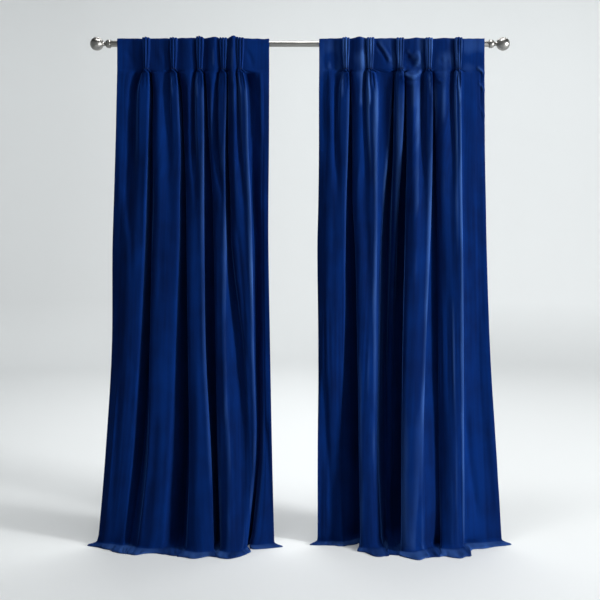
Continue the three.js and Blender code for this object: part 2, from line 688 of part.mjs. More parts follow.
// A ribbon outline: the path moved to each side by half the tab's thickness.
function ribbonShape(path, thickness) {
  const side = (sign) => path.map((point, i) => {
    const before = path[Math.max(i - 1, 0)];
    const after = path[Math.min(i + 1, path.length - 1)];
    const along = after.clone().sub(before).normalize();
    return new THREE.Vector2(-along.y, along.x).multiplyScalar((sign * thickness) / 2).add(point);
  });
  return new THREE.Shape([...side(1), ...side(-1).reverse()]);
}

function tabGeometry() {
  const shape = ribbonShape(tabPath(), TAB_THICKNESS);
  const geometry = new THREE.ExtrudeGeometry(shape, { depth: TAB_WIDTH, bevelEnabled: false });
  // The outline was drawn with Y across and Z up; the strip's width runs along the rod.
  geometry.translate(0, 0, -TAB_WIDTH / 2);
  geometry.rotateX(Math.PI / 2);
  geometry.rotateZ(Math.PI / 2);
  return geometry;
}

// ---- Finials ----

// Profile from the collar's flat inner face to the far end of the ball: radius across, length up.
function finialProfile() {
  const neck = NECK_DIAMETER / 2;
  const ball = BALL_DIAMETER / 2;
  const collar = COLLAR_DIAMETER / 2;
  const points = [
    new THREE.Vector2(0, 0),
    new THREE.Vector2(collar - COLLAR_CHAMFER, 0),
    new THREE.Vector2(collar, COLLAR_CHAMFER),
    ...COLLAR_ROUND.map(({ radius, along }) => new THREE.Vector2(collar * radius, COLLAR_LENGTH * along)),
    new THREE.Vector2(neck, COLLAR_LENGTH),
  ];
  const start = Math.asin(neck / ball);
  for (let step = 0; step <= BALL_STEPS; step += 1) {
    const angle = lerp(start, Math.PI, step / BALL_STEPS);
    const radius = step === BALL_STEPS ? 0 : ball * Math.sin(angle);
    points.push(new THREE.Vector2(radius, COLLAR_FACE_TO_BALL - ball * Math.cos(angle)));
  }
  return points;
}

function addFinial(group, name, side) {
  const geometry = new THREE.LatheGeometry(finialProfile(), FINIAL_SIDES);
  geometry.rotateZ(-side * Math.PI / 2);
  const mesh = addMesh(group, name, geometry, NICKEL);
  mesh.position.x = side * (FINIAL_SPAN / 2 - COLLAR_FACE_TO_BALL);
}

// ---- Assembly ----

function addCurtain(group, curtain, finish) {
  addMesh(group, `curtain_${curtain.name}`, sheetGeometry(sheetRows(curtain)), finish);
  const [left, right] = curtain.heading;
  const places = [left + END_TAB_INSET, ...curtain.pleats, right - END_TAB_INSET];
  places.forEach((x, i) => {
    const tab = addMesh(group, `tab_${curtain.name}_${i + 1}`, tabGeometry(), TAB_CLOTH);
    tab.position.x = x;
  });
}

function addRod(group) {
  const length = FINIAL_SPAN - 2 * COLLAR_FACE_TO_BALL - 2 * GAP;
  const geometry = new THREE.CylinderGeometry(ROD_DIAMETER / 2, ROD_DIAMETER / 2, length, ROD_SIDES);
  geometry.rotateZ(Math.PI / 2);
  addMesh(group, 'rod', geometry, NICKEL);
}

const curtains = new THREE.Group();
addRod(curtains);
addFinial(curtains, 'finial_left', -1);
addFinial(curtains, 'finial_right', 1);
addCurtain(curtains, LEFT_CURTAIN, VELVET_LEFT);
addCurtain(curtains, RIGHT_CURTAIN, VELVET_RIGHT);

export default curtains;
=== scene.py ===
"""A pair of velvet curtains with triple pinch pleats on a rod with ball finials.

Each curtain is one thin sheet of cloth. Its folds are laid out in millimetres, as places along
the rod and distances before the rod's axis, at a few heights.
into the sheet where the cloth creases, and the hem turns out along the floor.
"""

import logging
import math
from dataclasses import dataclass, field
from enum import Enum
from typing import Any, Callable, Sequence

import bpy
import numpy as np
from mathutils import Matrix, Vector


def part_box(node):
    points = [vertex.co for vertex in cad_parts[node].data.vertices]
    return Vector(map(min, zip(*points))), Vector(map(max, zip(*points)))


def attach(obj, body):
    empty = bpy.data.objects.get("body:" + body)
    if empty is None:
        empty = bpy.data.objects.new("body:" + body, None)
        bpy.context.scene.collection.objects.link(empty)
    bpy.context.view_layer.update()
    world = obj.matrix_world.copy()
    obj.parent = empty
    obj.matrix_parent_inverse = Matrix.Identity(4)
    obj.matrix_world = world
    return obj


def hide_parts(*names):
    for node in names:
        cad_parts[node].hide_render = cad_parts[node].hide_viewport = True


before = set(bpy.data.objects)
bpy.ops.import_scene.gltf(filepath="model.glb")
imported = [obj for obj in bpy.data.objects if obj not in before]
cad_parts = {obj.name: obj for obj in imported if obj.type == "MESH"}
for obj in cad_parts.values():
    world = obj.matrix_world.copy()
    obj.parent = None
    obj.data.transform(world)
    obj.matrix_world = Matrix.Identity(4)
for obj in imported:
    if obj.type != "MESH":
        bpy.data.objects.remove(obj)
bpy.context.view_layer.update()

LOG = logging.getLogger("curtains")
MM = 0.001

# Sizes that the whole object shares, in millimetres.
FLOOR_Z = -2075.0
HEADING_Y = -15.45
HEADING_TOP = 19.0
TACK_Z = -108.0
FLAT_WIDTH = 1321.0
CLOTH_THICKNESS = 1.5
PLEAT_CLOTH = 158.0
SIDE_HEM = 38.0
RIDGE_ROUND = 9.0
UNDERCUT = 14.0

# Heights at which the folds are laid out, from the headings down to the bend of the hems.
LEVELS = (-112.0, -200.0, -440.0, -650.0, -850.0, -1270.0, -1690.0, -2030.0, -2062.0)

# A colour, a place or a set of three scales; a point of a section; and a pair of values at every level.
Triple = tuple[float, float, float]
Point = tuple[float, float]
Trace = tuple[tuple[float, float], ...]


# ---------------------------------------------------------------------------------------------------
# Small numeric helpers
# ---------------------------------------------------------------------------------------------------


def smoothstep(value: Any, low: float, high: float) -> Any:
    """Return 0 below low, 1 above high, and a smooth ramp between them."""
    share = np.clip((np.asarray(value, float) - low) / (high - low), 0.0, 1.0)
    return share * share * (3.0 - 2.0 * share)


def lerp(start: Any, end: Any, share: Any) -> Any:
    """Return the value that lies the given share of the way from start to end."""
    return start + (end - start) * share


def hermite(t: Any) -> tuple[Any, Any, Any, Any]:
    """Return a cubic's weights for its start, the slope there, its end and the slope there."""
    return 2 * t**3 - 3 * t**2 + 1, t**3 - 2 * t**2 + t, -2 * t**3 + 3 * t**2, t**3 - t**2


def smooth_curve(knots: np.ndarray, per_span: int) -> np.ndarray:
    """Run a smooth curve through knots, with its speed matched to their spacing.

    Args:
        knots: Points of shape (n, d) in order along the curve.
        per_span: Samples for each span between two knots.

    Returns:
        Points of shape ((n - 1) * per_span + 1, d).
    """
    padded = np.vstack([2 * knots[0] - knots[1], knots, 2 * knots[-1] - knots[-2]])
    steps = np.maximum(np.linalg.norm(np.diff(padded, axis=0), axis=1), 1e-6) ** 0.5
    before, span, after = steps[:-2, None], steps[1:-1, None], steps[2:, None]
    p0, p1, p2, p3 = padded[:-3], padded[1:-2], padded[2:-1], padded[3:]
    out_tangent = (p1 - p0) / before - (p2 - p0) / (before + span) + (p2 - p1) / span
    in_tangent = (p2 - p1) / span - (p3 - p1) / (span + after) + (p3 - p2) / after
    start, leaving, end, arriving = hermite((np.arange(per_span) / per_span)[None, :, None])
    curve = (
        start * p1[:, None]
        + leaving * (out_tangent * span)[:, None]
        + end * p2[:, None]
        + arriving * (in_tangent * span)[:, None]
    )
    return np.vstack([curve.reshape(-1, knots.shape[1]), knots[-1:]])


def path_lengths(points: np.ndarray) -> np.ndarray:
    """Return the distance along a line of points, from 0 at its first point."""
    steps = np.linalg.norm(np.diff(points, axis=0), axis=1)
    return np.concatenate([[0.0], np.cumsum(steps)])


def solve_rising(rising: Callable[[float], float], target: float, low: float, high: float) -> float:
    """Return the value between low and high at which a rising function reaches the target."""
    for _ in range(26):
        middle = (low + high) / 2
        low, high = (middle, high) if rising(middle) < target else (low, middle)
    return (low + high) / 2


def level_value(values: Sequence[float], z: float) -> float:
    """Return a smooth value at height z from a list that follows LEVELS.

    Args:
        values: One value for each level.
        z: Height in millimetres; beyond the levels the nearest value holds.

    Returns:
        The interpolated value, which never overshoots its neighbours by much.
    """
    if z >= LEVELS[0]:
        return float(values[0])
    if z <= LEVELS[-1]:
        return float(values[-1])
    i = next(n for n in range(len(LEVELS) - 1) if z >= LEVELS[n + 1])
    width = LEVELS[i] - LEVELS[i + 1]

    def slope(n: int) -> float:
        """Return the mean slope of the list at one of its levels."""
        first, last = max(n - 1, 0), min(n + 1, len(LEVELS) - 1)
        return (values[last] - values[first]) / (LEVELS[first] - LEVELS[last])

    start, leaving, end, arriving = hermite((LEVELS[i] - z) / width)
    return float(
        start * values[i]
        + leaving * slope(i) * width
        + end * values[i + 1]
        + arriving * slope(i + 1) * width
    )


def trace_values(trace: Trace, z: float) -> Point:
    """Return a trace's two values at a height."""
    first, second = zip(*trace)
    return level_value(first, z), level_value(second, z)


def trace_point(trace: Trace, z: float) -> Point:
    """Return a trace's place along the rod and its y, which is its distance before the rod, negated."""
    place, front = trace_values(trace, z)
    return place, -front


def ripple(seed: int, phase: np.ndarray, waves: int = 4) -> np.ndarray:
    """Return a smooth, uneven wave between about -1 and 1 that repeats for one seed."""
    rng = np.random.default_rng(seed)
    total = np.zeros_like(np.asarray(phase, float))
    for n in range(1, waves + 1):
        total += np.sin(phase * n * rng.uniform(0.75, 1.25) + rng.uniform(0, 2 * math.pi)) / n**0.7
    return total / sum(1 / n**0.7 for n in range(1, waves + 1)) * 1.6


def smoothing_window(count: int) -> np.ndarray:
    """Return the weights of a smooth, bell-shaped mean over so many neighbours."""
    window = np.hanning(count)
    return window / window.sum()


def grid_normals(grid: np.ndarray) -> np.ndarray:
    """Return the unit normals of a hung sheet's grid, on the side that faces the room."""
    normal = np.cross(np.gradient(grid, axis=0), np.gradient(grid, axis=1))
    return normal / np.maximum(np.linalg.norm(normal, axis=2, keepdims=True), 1e-9)


# ---------------------------------------------------------------------------------------------------
# Small mesh helpers
# ---------------------------------------------------------------------------------------------------


def added(name: str, data: bpy.types.ID) -> bpy.types.Object:
    """Put a mesh, a light or a camera into the scene as an object at the origin."""
    piece = bpy.data.objects.new(name, data)
    bpy.context.scene.collection.objects.link(piece)
    return piece


def ring_quads(low: int, high: int, sides: int) -> list[tuple[int, ...]]:
    """Return the quads between two rings of points, from the numbers of the rings' first points."""
    turns = [(n, (n + 1) % sides) for n in range(sides)]
    return [(low + n, low + m, high + m, high + n) for n, m in turns]


def grid_mesh(name: str, grid: np.ndarray) -> bpy.types.Mesh:
    """Make a mesh of quads on a grid of points.

    Args:
        name: Name of the mesh.
        grid: Points in millimetres, of shape (rows, columns, 3).

    Returns:
        The mesh, in metres.
    """
    rows, columns = grid.shape[:2]
    number = np.arange(rows * columns).reshape(rows, columns)
    quads = np.stack([number[:-1, :-1], number[1:, :-1], number[1:, 1:], number[:-1, 1:]], axis=-1)
    mesh = bpy.data.meshes.new(name)
    mesh.from_pydata((grid.reshape(-1, 3) * MM).tolist(), [], quads.reshape(-1, 4).tolist())
    return mesh


def thicken(piece: bpy.types.Object, thickness: float) -> None:
    """Add a modifier that gives a sheet its thickness, in millimetres, half of it on each side."""
    solid = piece.modifiers.new("thickness", "SOLIDIFY")
    solid.thickness = thickness * MM
    solid.offset = 0.0


def apply_modifiers(piece: bpy.types.Object) -> None:
    """Apply every modifier of a piece, in order."""
    bpy.ops.object.select_all(action="DESELECT")
    bpy.context.view_layer.objects.active = piece
    piece.select_set(True)
    for modifier in list(piece.modifiers):
        bpy.ops.object.modifier_apply(modifier=modifier.name)
    piece.select_set(False)


# ---------------------------------------------------------------------------------------------------
# Shader nodes
# ---------------------------------------------------------------------------------------------------


class Value:
    """One socket of a node tree, on which Python arithmetic adds Math nodes."""

    def __init__(self, shader: "Shader", socket: bpy.types.NodeSocket) -> None:
        """Keep the socket with the shader it belongs to."""
        self.shader = shader
        self.socket = socket

    def _math(self, operation: str, other: Any) -> "Value":
        """Add a Math node for the value and another one, which may be a plain number."""
        return self.shader.node("ShaderNodeMath", {"operation": operation}, {0: self, 1: other})

    def __add__(self, other: Any) -> "Value":
        """Return self + other."""
        return self._math("ADD", other)

    def __sub__(self, other: Any) -> "Value":
        """Return self - other."""
        return self._math("SUBTRACT", other)

    def __mul__(self, other: Any) -> "Value":
        """Return self * other."""
        return self._math("MULTIPLY", other)

    def ramp(self, *stops: tuple[float, float]) -> "Value":
        """Return the value passed through a grey ramp of (place, brightness) stops."""
        return self.shader.node(
            "ShaderNodeValToRGB",
            {"stops": [(place, (grey, grey, grey, 1.0)) for place, grey in stops]},
            {"Fac": self},
        )


class Shader:
    """The node tree of one material, with its Principled shader ready to be fed."""

    def __init__(self, name: str, settings: dict[str, Any]) -> None:
        """Make the material.

        Args:
            name: Name of the material.
            settings: Values for the Principled shader's own sockets.
        """
        self.material = bpy.data.materials.new(name)
        self.material.use_nodes = True
        self.tree = self.material.node_tree
        self.bsdf = self.tree.nodes["Principled BSDF"]
        for socket, value in settings.items():
            self.bsdf.inputs[socket].default_value = value

    def node(
        self,
        kind: str,
        settings: dict[str, Any] | None = None,
        inputs: dict[Any, Any] | None = None,
        output: Any = 0,
    ) -> Value:
        """Add one node.

        Args:
            kind: Blender's type name of the node.
            settings: Attributes set before anything is linked; "stops" fills a colour ramp.
            inputs: Socket name or number to a value or a linked Value.
            output: Name or number of the socket that is handed back.

        Returns:
            The chosen output, wrapped.
        """
        made = self.tree.nodes.new(kind)
        for key, value in (settings or {}).items():
            if key == "stops":
                self._fill_ramp(made.color_ramp, value)
            else:
                setattr(made, key, value)
        for key, value in (inputs or {}).items():
            if isinstance(value, Value):
                self.tree.links.new(value.socket, made.inputs[key])
            else:
                made.inputs[key].default_value = value
        return Value(self, made.outputs[output])

    @staticmethod
    def _fill_ramp(ramp: bpy.types.ColorRamp, stops: Sequence[tuple[float, Sequence[float]]]) -> None:
        """Set a colour ramp's stops."""
        while len(ramp.elements) < len(stops):
            ramp.elements.new(1.0)
        for element, (place, colour) in zip(ramp.elements, stops):
            element.position = place
            element.color = colour

    def feed(self, **links: Value) -> None:
        """Link values to the Principled shader's sockets, named with _ for a space."""
        for name, value in links.items():
            self.tree.links.new(value.socket, self.bsdf.inputs[name.replace("_", " ")])

    def mix_colour(self, share: Any, first: Any, second: Any, blend: str = "MIX") -> Value:
        """Return two colours mixed by a share."""
        return self.node(
            "ShaderNodeMix",
            {"data_type": "RGBA", "blend_type": blend, "clamp_factor": True},
            {0: share, 6: first, 7: second},
            output=2,
        )

    def noise(self, place: Value, scale: float, detail: float = 2.0, rough: float = 0.5) -> Value:
        """Return smooth noise over a place."""
        return self.node(
            "ShaderNodeTexNoise",
            {"noise_dimensions": "3D"},
            {"Vector": place, "Scale": scale, "Detail": detail, "Roughness": rough},
            output="Fac",
        )

    def bands(self, place: Value, direction: str, scale: float, distortion: float) -> Value:
        """Return even bands across a direction, a little wavy."""
        return self.node(
            "ShaderNodeTexWave",
            {"wave_type": "BANDS", "bands_direction": direction},
            {"Vector": place, "Scale": scale, "Distortion": distortion},
            output="Fac",
        )

    def object_place(self) -> Value:
        """Return each point's place in its object."""
        return self.node("ShaderNodeTexCoord", output="Object")

    def mapped(self, place: Value, scale: Sequence[float]) -> Value:
        """Return a place stretched by a scale on each axis."""
        return self.node("ShaderNodeMapping", {}, {"Vector": place, "Scale": scale})

    def bumped(
        self, height: Value, strength: float, distance: float, under: Value | None = None
    ) -> Value:
        """Return a normal raised by a height in metres of distance, over another normal."""
        inputs: dict[Any, Any] = {"Height": height, "Strength": strength, "Distance": distance}
        if under is not None:
            inputs["Normal"] = under
        return self.node("ShaderNodeBump", {}, inputs)


def rgba(colour: Triple, brightness: float = 1.0) -> tuple[float, ...]:
    """Return a colour with an alpha of 1, its channels scaled by a brightness."""
    return (*(channel * brightness for channel in colour), 1.0)


@dataclass(frozen=True)
class Velvet:
    """Deep blue cotton velvet: a dark ground under a short, upright pile.

    The ground runs from deep to pale. A highlight is painted on it along ridges, creases, the heading
    and the hem, and shade is painted into its hollows.
    The grains count marks for each metre across the cloth and along its drop: of the brushed pile, its
    streaks, the places where it was pressed, and its single tufts.
    """

    name: str
    deep: Triple = (0.0004, 0.0064, 0.045)
    pale: Triple = (0.0005, 0.0124, 0.083)
    # A painted highlight for ridges, creases, the heading and the hem, and how dark the shade painted
    # into hollows is.
    highlight_paint: Triple = (0.036, 0.092, 0.270)
    painted_shade_brightness: float = 0.35
    sheen_tint: Triple = (0.07, 0.26, 1.00)
    sheen: float = 0.25
    sheen_roughness: float = 0.30
    brushed_grain: Triple = (9.0, 1.3, 1.0)
    streak_grain: Triple = (95.0, 2.2, 1.0)
    pressed_grain: Triple = (16.0, 9.0, 1.0)
    tuft_grain: Triple = (1500.0, 900.0, 1.0)

    def material(self) -> bpy.types.Material:
        """Make the velvet, whose pile follows the cloth's own width and drop."""
        shader = Shader(
            self.name,
            {
                "Roughness": 0.9,
                "Specular IOR Level": 0.03,
                "Sheen Weight": self.sheen,
                "Sheen Roughness": self.sheen_roughness,
                "Sheen Tint": rgba(self.sheen_tint),
            },
        )
        cloth = shader.node("ShaderNodeUVMap", {"uv_map": "cloth"})
        opened = shader.node("ShaderNodeAttribute", {"attribute_name": "painted light"}, output="Fac")
        brushed = shader.noise(shader.mapped(cloth, self.brushed_grain), 1.0, 3.0, 0.55)
        streaks = shader.noise(shader.mapped(cloth, self.streak_grain), 1.0, 3.0, 0.6)
        pressed = shader.noise(shader.mapped(cloth, self.pressed_grain), 1.0, 2.0, 0.5)
        tufts = shader.noise(shader.mapped(cloth, self.tuft_grain), 1.0, 2.0, 0.6)
        tone = brushed * 0.42 + streaks * 0.26 + pressed * 0.24 + tufts * 0.08
        share = tone.ramp((0.40, 0.0), (0.60, 1.0))
        ground = shader.mix_colour(share, rgba(self.deep), rgba(self.pale))
        # A highlight is painted along the ridges, stronger in uneven patches.
        highlight_patches = brushed.ramp((0.38, 0.25), (0.62, 1.0))
        ridges = (opened * highlight_patches).ramp((0.10, 0.0), (0.95, 0.66))
        lit = shader.mix_colour(ridges, ground, rgba(self.highlight_paint))
        # Painted shade in the hollows.
        hollows = (opened * -1.0).ramp((0.05, 0.0), (0.9, 0.8))
        fine = shader.bumped(tufts, 0.35, 0.0004)
        combed = shader.bumped(streaks, 0.22, 0.0016, fine)
        shader.feed(
            Base_Color=shader.mix_colour(hollows, lit, rgba(self.deep, self.painted_shade_brightness)),
            Roughness=tone * 0.22 + 0.78,
            Normal=shader.bumped(pressed, 0.10, 0.004, combed),
        )
        return shader.material


@dataclass(frozen=True)
class TabCloth:
    """Plain woven strip of the same blue, for the tabs on the back of a heading."""

    name: str = "tab cloth"
    colour: Triple = (0.0022, 0.012, 0.055)
    lit_brightness: float = 1.9
    threads: float = 260.0

    def material(self) -> bpy.types.Material:
        """Make the strip's plain weave."""
        shader = Shader(self.name, {"Roughness": 0.8, "Sheen Weight": 0.25, "Sheen Roughness": 0.5})
        place = shader.object_place()
        weft, warp = (shader.bands(place, direction, self.threads, 0.6) for direction in "ZX")
        weave = (weft + warp) * 0.5
        shader.feed(
            Base_Color=shader.mix_colour(
                weave, rgba(self.colour), rgba(self.colour, self.lit_brightness)
            ),
            Normal=shader.bumped(weave, 0.5, 0.0004),
        )
        return shader.material


@dataclass(frozen=True)
class Thread:
    """Sewing thread, about as dark as the velvet it sinks into."""

    name: str
    colour: Triple = (0.0012, 0.008, 0.046)
    groove_shade_brightness: float = 0.45

    def material(self) -> bpy.types.Material:
        """Make the twisted thread."""
        shader = Shader(self.name, {"Roughness": 0.7, "Specular IOR Level": 0.15})
        place = shader.object_place()
        # The grooves of the twist get painted shade.
        twist = shader.bands(place, "DIAGONAL", 420.0, 0.4)
        groove = rgba(self.colour, self.groove_shade_brightness)
        shader.feed(
            Base_Color=shader.mix_colour(twist, groove, rgba(self.colour)),
            Normal=shader.bumped(twist, 0.6, 0.0005),
        )
        return shader.material


@dataclass(frozen=True)
class BrushedNickel:
    """Satin nickel, drawn out in fine lines along the rod, with soft cloudy tarnish."""

    name: str
    bright: Triple = (0.37, 0.362, 0.345)
    dull: Triple = (0.20, 0.195, 0.185)
    brush: Triple = (9.0, 620.0, 620.0)

    def material(self) -> bpy.types.Material:
        """Make the brushed metal."""
        shader = Shader(self.name, {"Metallic": 1.0, "Roughness": 0.3, "Anisotropic": 0.35})
        place = shader.object_place()
        lines = shader.noise(shader.mapped(place, self.brush), 1.0, 3.0, 0.65)
        cloud = shader.noise(place, 18.0, 3.0, 0.5)
        shader.feed(
            Base_Color=shader.mix_colour(
                lines * 0.6 + cloud * 0.4, rgba(self.dull), rgba(self.bright)
            ),
            Roughness=lines * 0.16 + cloud * 0.10 + 0.20,
            Normal=shader.bumped(lines, 0.12, 0.0003),
        )
        return shader.material


@dataclass(frozen=True)
class StudioPaint:
    """Plain pale paint of the studio floor and its far sweep.

    The two sets of shades run from left to right, and even out the light on the sweep and on the floor.
    """

    name: str = "studio paint"
    colour: Triple = (0.756, 0.78, 0.786)
    far_shades: Triple = (0.79, 0.905, 0.915)
    near_shades: Triple = (0.89, 0.90, 0.765)

    def material(self) -> bpy.types.Material:
        """Make the paint, which goes over from the far shades to the near ones just above the floor."""
        shader = Shader(self.name, {"Roughness": 0.75, "Specular IOR Level": 0.2})
        place = shader.object_place()
        cloud = shader.noise(place, 0.7, 2.0, 0.5)
        paint = shader.mix_colour(cloud, rgba(self.colour, 0.985), rgba(self.colour))
        along, height = (
            shader.node("ShaderNodeSeparateXYZ", {}, {"Vector": place}, output=axis) for axis in "XZ"
        )
        stops = (0.0, 0.5, 1.0)
        far = (along * 0.17 + 0.5).ramp(*zip(stops, self.far_shades))
        near = (along * 0.45 + 0.5).ramp(*zip(stops, self.near_shades))
        low = (height * -2.0 - 3.1).ramp((0.0, 0.0), (1.0, 1.0))
        shades = shader.mix_colour(low, far, near)
        shader.feed(Base_Color=shader.mix_colour(1.0, paint, shades, "MULTIPLY"))
        return shader.material


# ---------------------------------------------------------------------------------------------------
# The cloth of one curtain
# ---------------------------------------------------------------------------------------------------


@dataclass(frozen=True)
class Fold:
    """One fold: its face from shoulder to ridge, and the recess on its right.

    Each trace follows LEVELS from the top down. shoulder, crest, valley and ridge hold places along
    the rod, and distances before the rod's axis. So does beyond, for a face that goes on to the right
    of its ridge. recess holds a place, and its depth behind the face as a share of the deepest one.

    mark numbers the side of a pleat at which the recess lies in the flat cloth, and foot the side at
    which the pleat rises, or 0 where that is in the recess before it. lens is the width of the pleat
    where it has opened below its tack. The pair after it says how strongly a highlight is painted
    along the ridge, high up and low down. fall follows LEVELS too: above 0 the cloth slopes from the
    ridge into the recess, by a share of the way, and below 0 the ridge overhangs the recess. slack is
    the most cloth that the recess takes from the pleat beside it.
    """

    mark: int
    foot: int
    lens: float
    painted_highlight: tuple[float, float]
    fall: tuple[float, ...]
    shoulder: Trace
    crest: Trace
    valley: Trace
    ridge: Trace
    recess: Trace
    beyond: tuple[Trace, ...] = ()
    slack: float = 62.0

    def lip(self, z: float) -> Point:
        """Return the left side of the opened pleat, which melts into the face further down."""
        valley, ridge = trace_point(self.valley, z), trace_point(self.ridge, z)
        melted = float(smoothstep(-z, 260.0, 640.0))
        width = lerp(21.0, self.lens, float(smoothstep(-z, 104.0, 205.0)))
        return (
            lerp(ridge[0] - width, lerp(valley[0], ridge[0], 0.55), melted),
            lerp(ridge[1] + 6.0, lerp(valley[1], ridge[1], 0.75), melted),
        )

    def face(self, z: float) -> list[Point]:
        """Return the face's points at a height, from left to right."""
        left = [trace_point(trace, z) for trace in (self.shoulder, self.crest, self.valley)]
        right = [trace_point(trace, z) for trace in (self.ridge, *self.beyond)]
        return [*left, self.lip(z), *right]


class Across(Enum):
    """What a crease's first coordinate counts."""

    ROD = "place along the rod"
    CLOTH = "flat distance from the left side edge"


class Wave(Enum):
    """What a curtain's uneven waves are for, and the step from its seed at which each one is drawn."""

    SWAY = 0
    UNEVEN_CLOTH = 3
    HEM_CRINKLE = 5
    UNEVEN_DROP = 7
    HEM_REACH = 9
    TOP_EDGE = 11
    DRAWN_DROP = 15
    DRAWN_CLOTH = 17
    RUFFLED_DROP = 21
    RUFFLED_CLOTH = 23


@dataclass(frozen=True)
class Crease:
    """A soft trough or ridge pressed into the side of the cloth that faces the room.

    path holds (place, z) pairs, width is the distance at which the crease has faded to a third, height
    is how far it stands out, below 0 for a trough, and taper is the length over which it fades in and
    out at its two ends. The last value says how strongly a highlight is painted along it.
    """

    path: tuple[Point, ...]
    width: float
    height: float
    taper: float = 80.0
    across: Across = Across.ROD
    painted_highlight: float = 0.0

    def share(self, place: np.ndarray, z: np.ndarray) -> np.ndarray:
        """Return how strongly the crease takes hold of points, from 0 far off to 1 along its line.

        Args:
            place: Places of the points, counted as across says.
            z: Their heights.

        Returns:
            Shares in the same shape as the places.
        """
        points = smooth_curve(np.array(self.path, float), 6)
        along = path_lengths(points)
        nearest = np.full(place.shape, 1e9)
        reached = np.zeros(place.shape)
        for start, end, before in zip(points, points[1:], along):
            step = end - start
            span = max(float(np.hypot(*step)), 1e-6)
            share = ((place - start[0]) * step[0] + (z - start[1]) * step[1]) / span**2
            share = np.clip(share, 0.0, 1.0)
            away = np.hypot(place - start[0] - share * step[0], z - start[1] - share * step[1])
            closer = away < nearest
            nearest = np.where(closer, away, nearest)
            reached = np.where(closer, before + share * span, reached)
        inside = smoothstep(reached, 0.0, self.taper)
        inside = inside * (1 - smoothstep(reached, along[-1] - self.taper, along[-1]))
        return np.exp(-((nearest / self.width) ** 2)) * inside


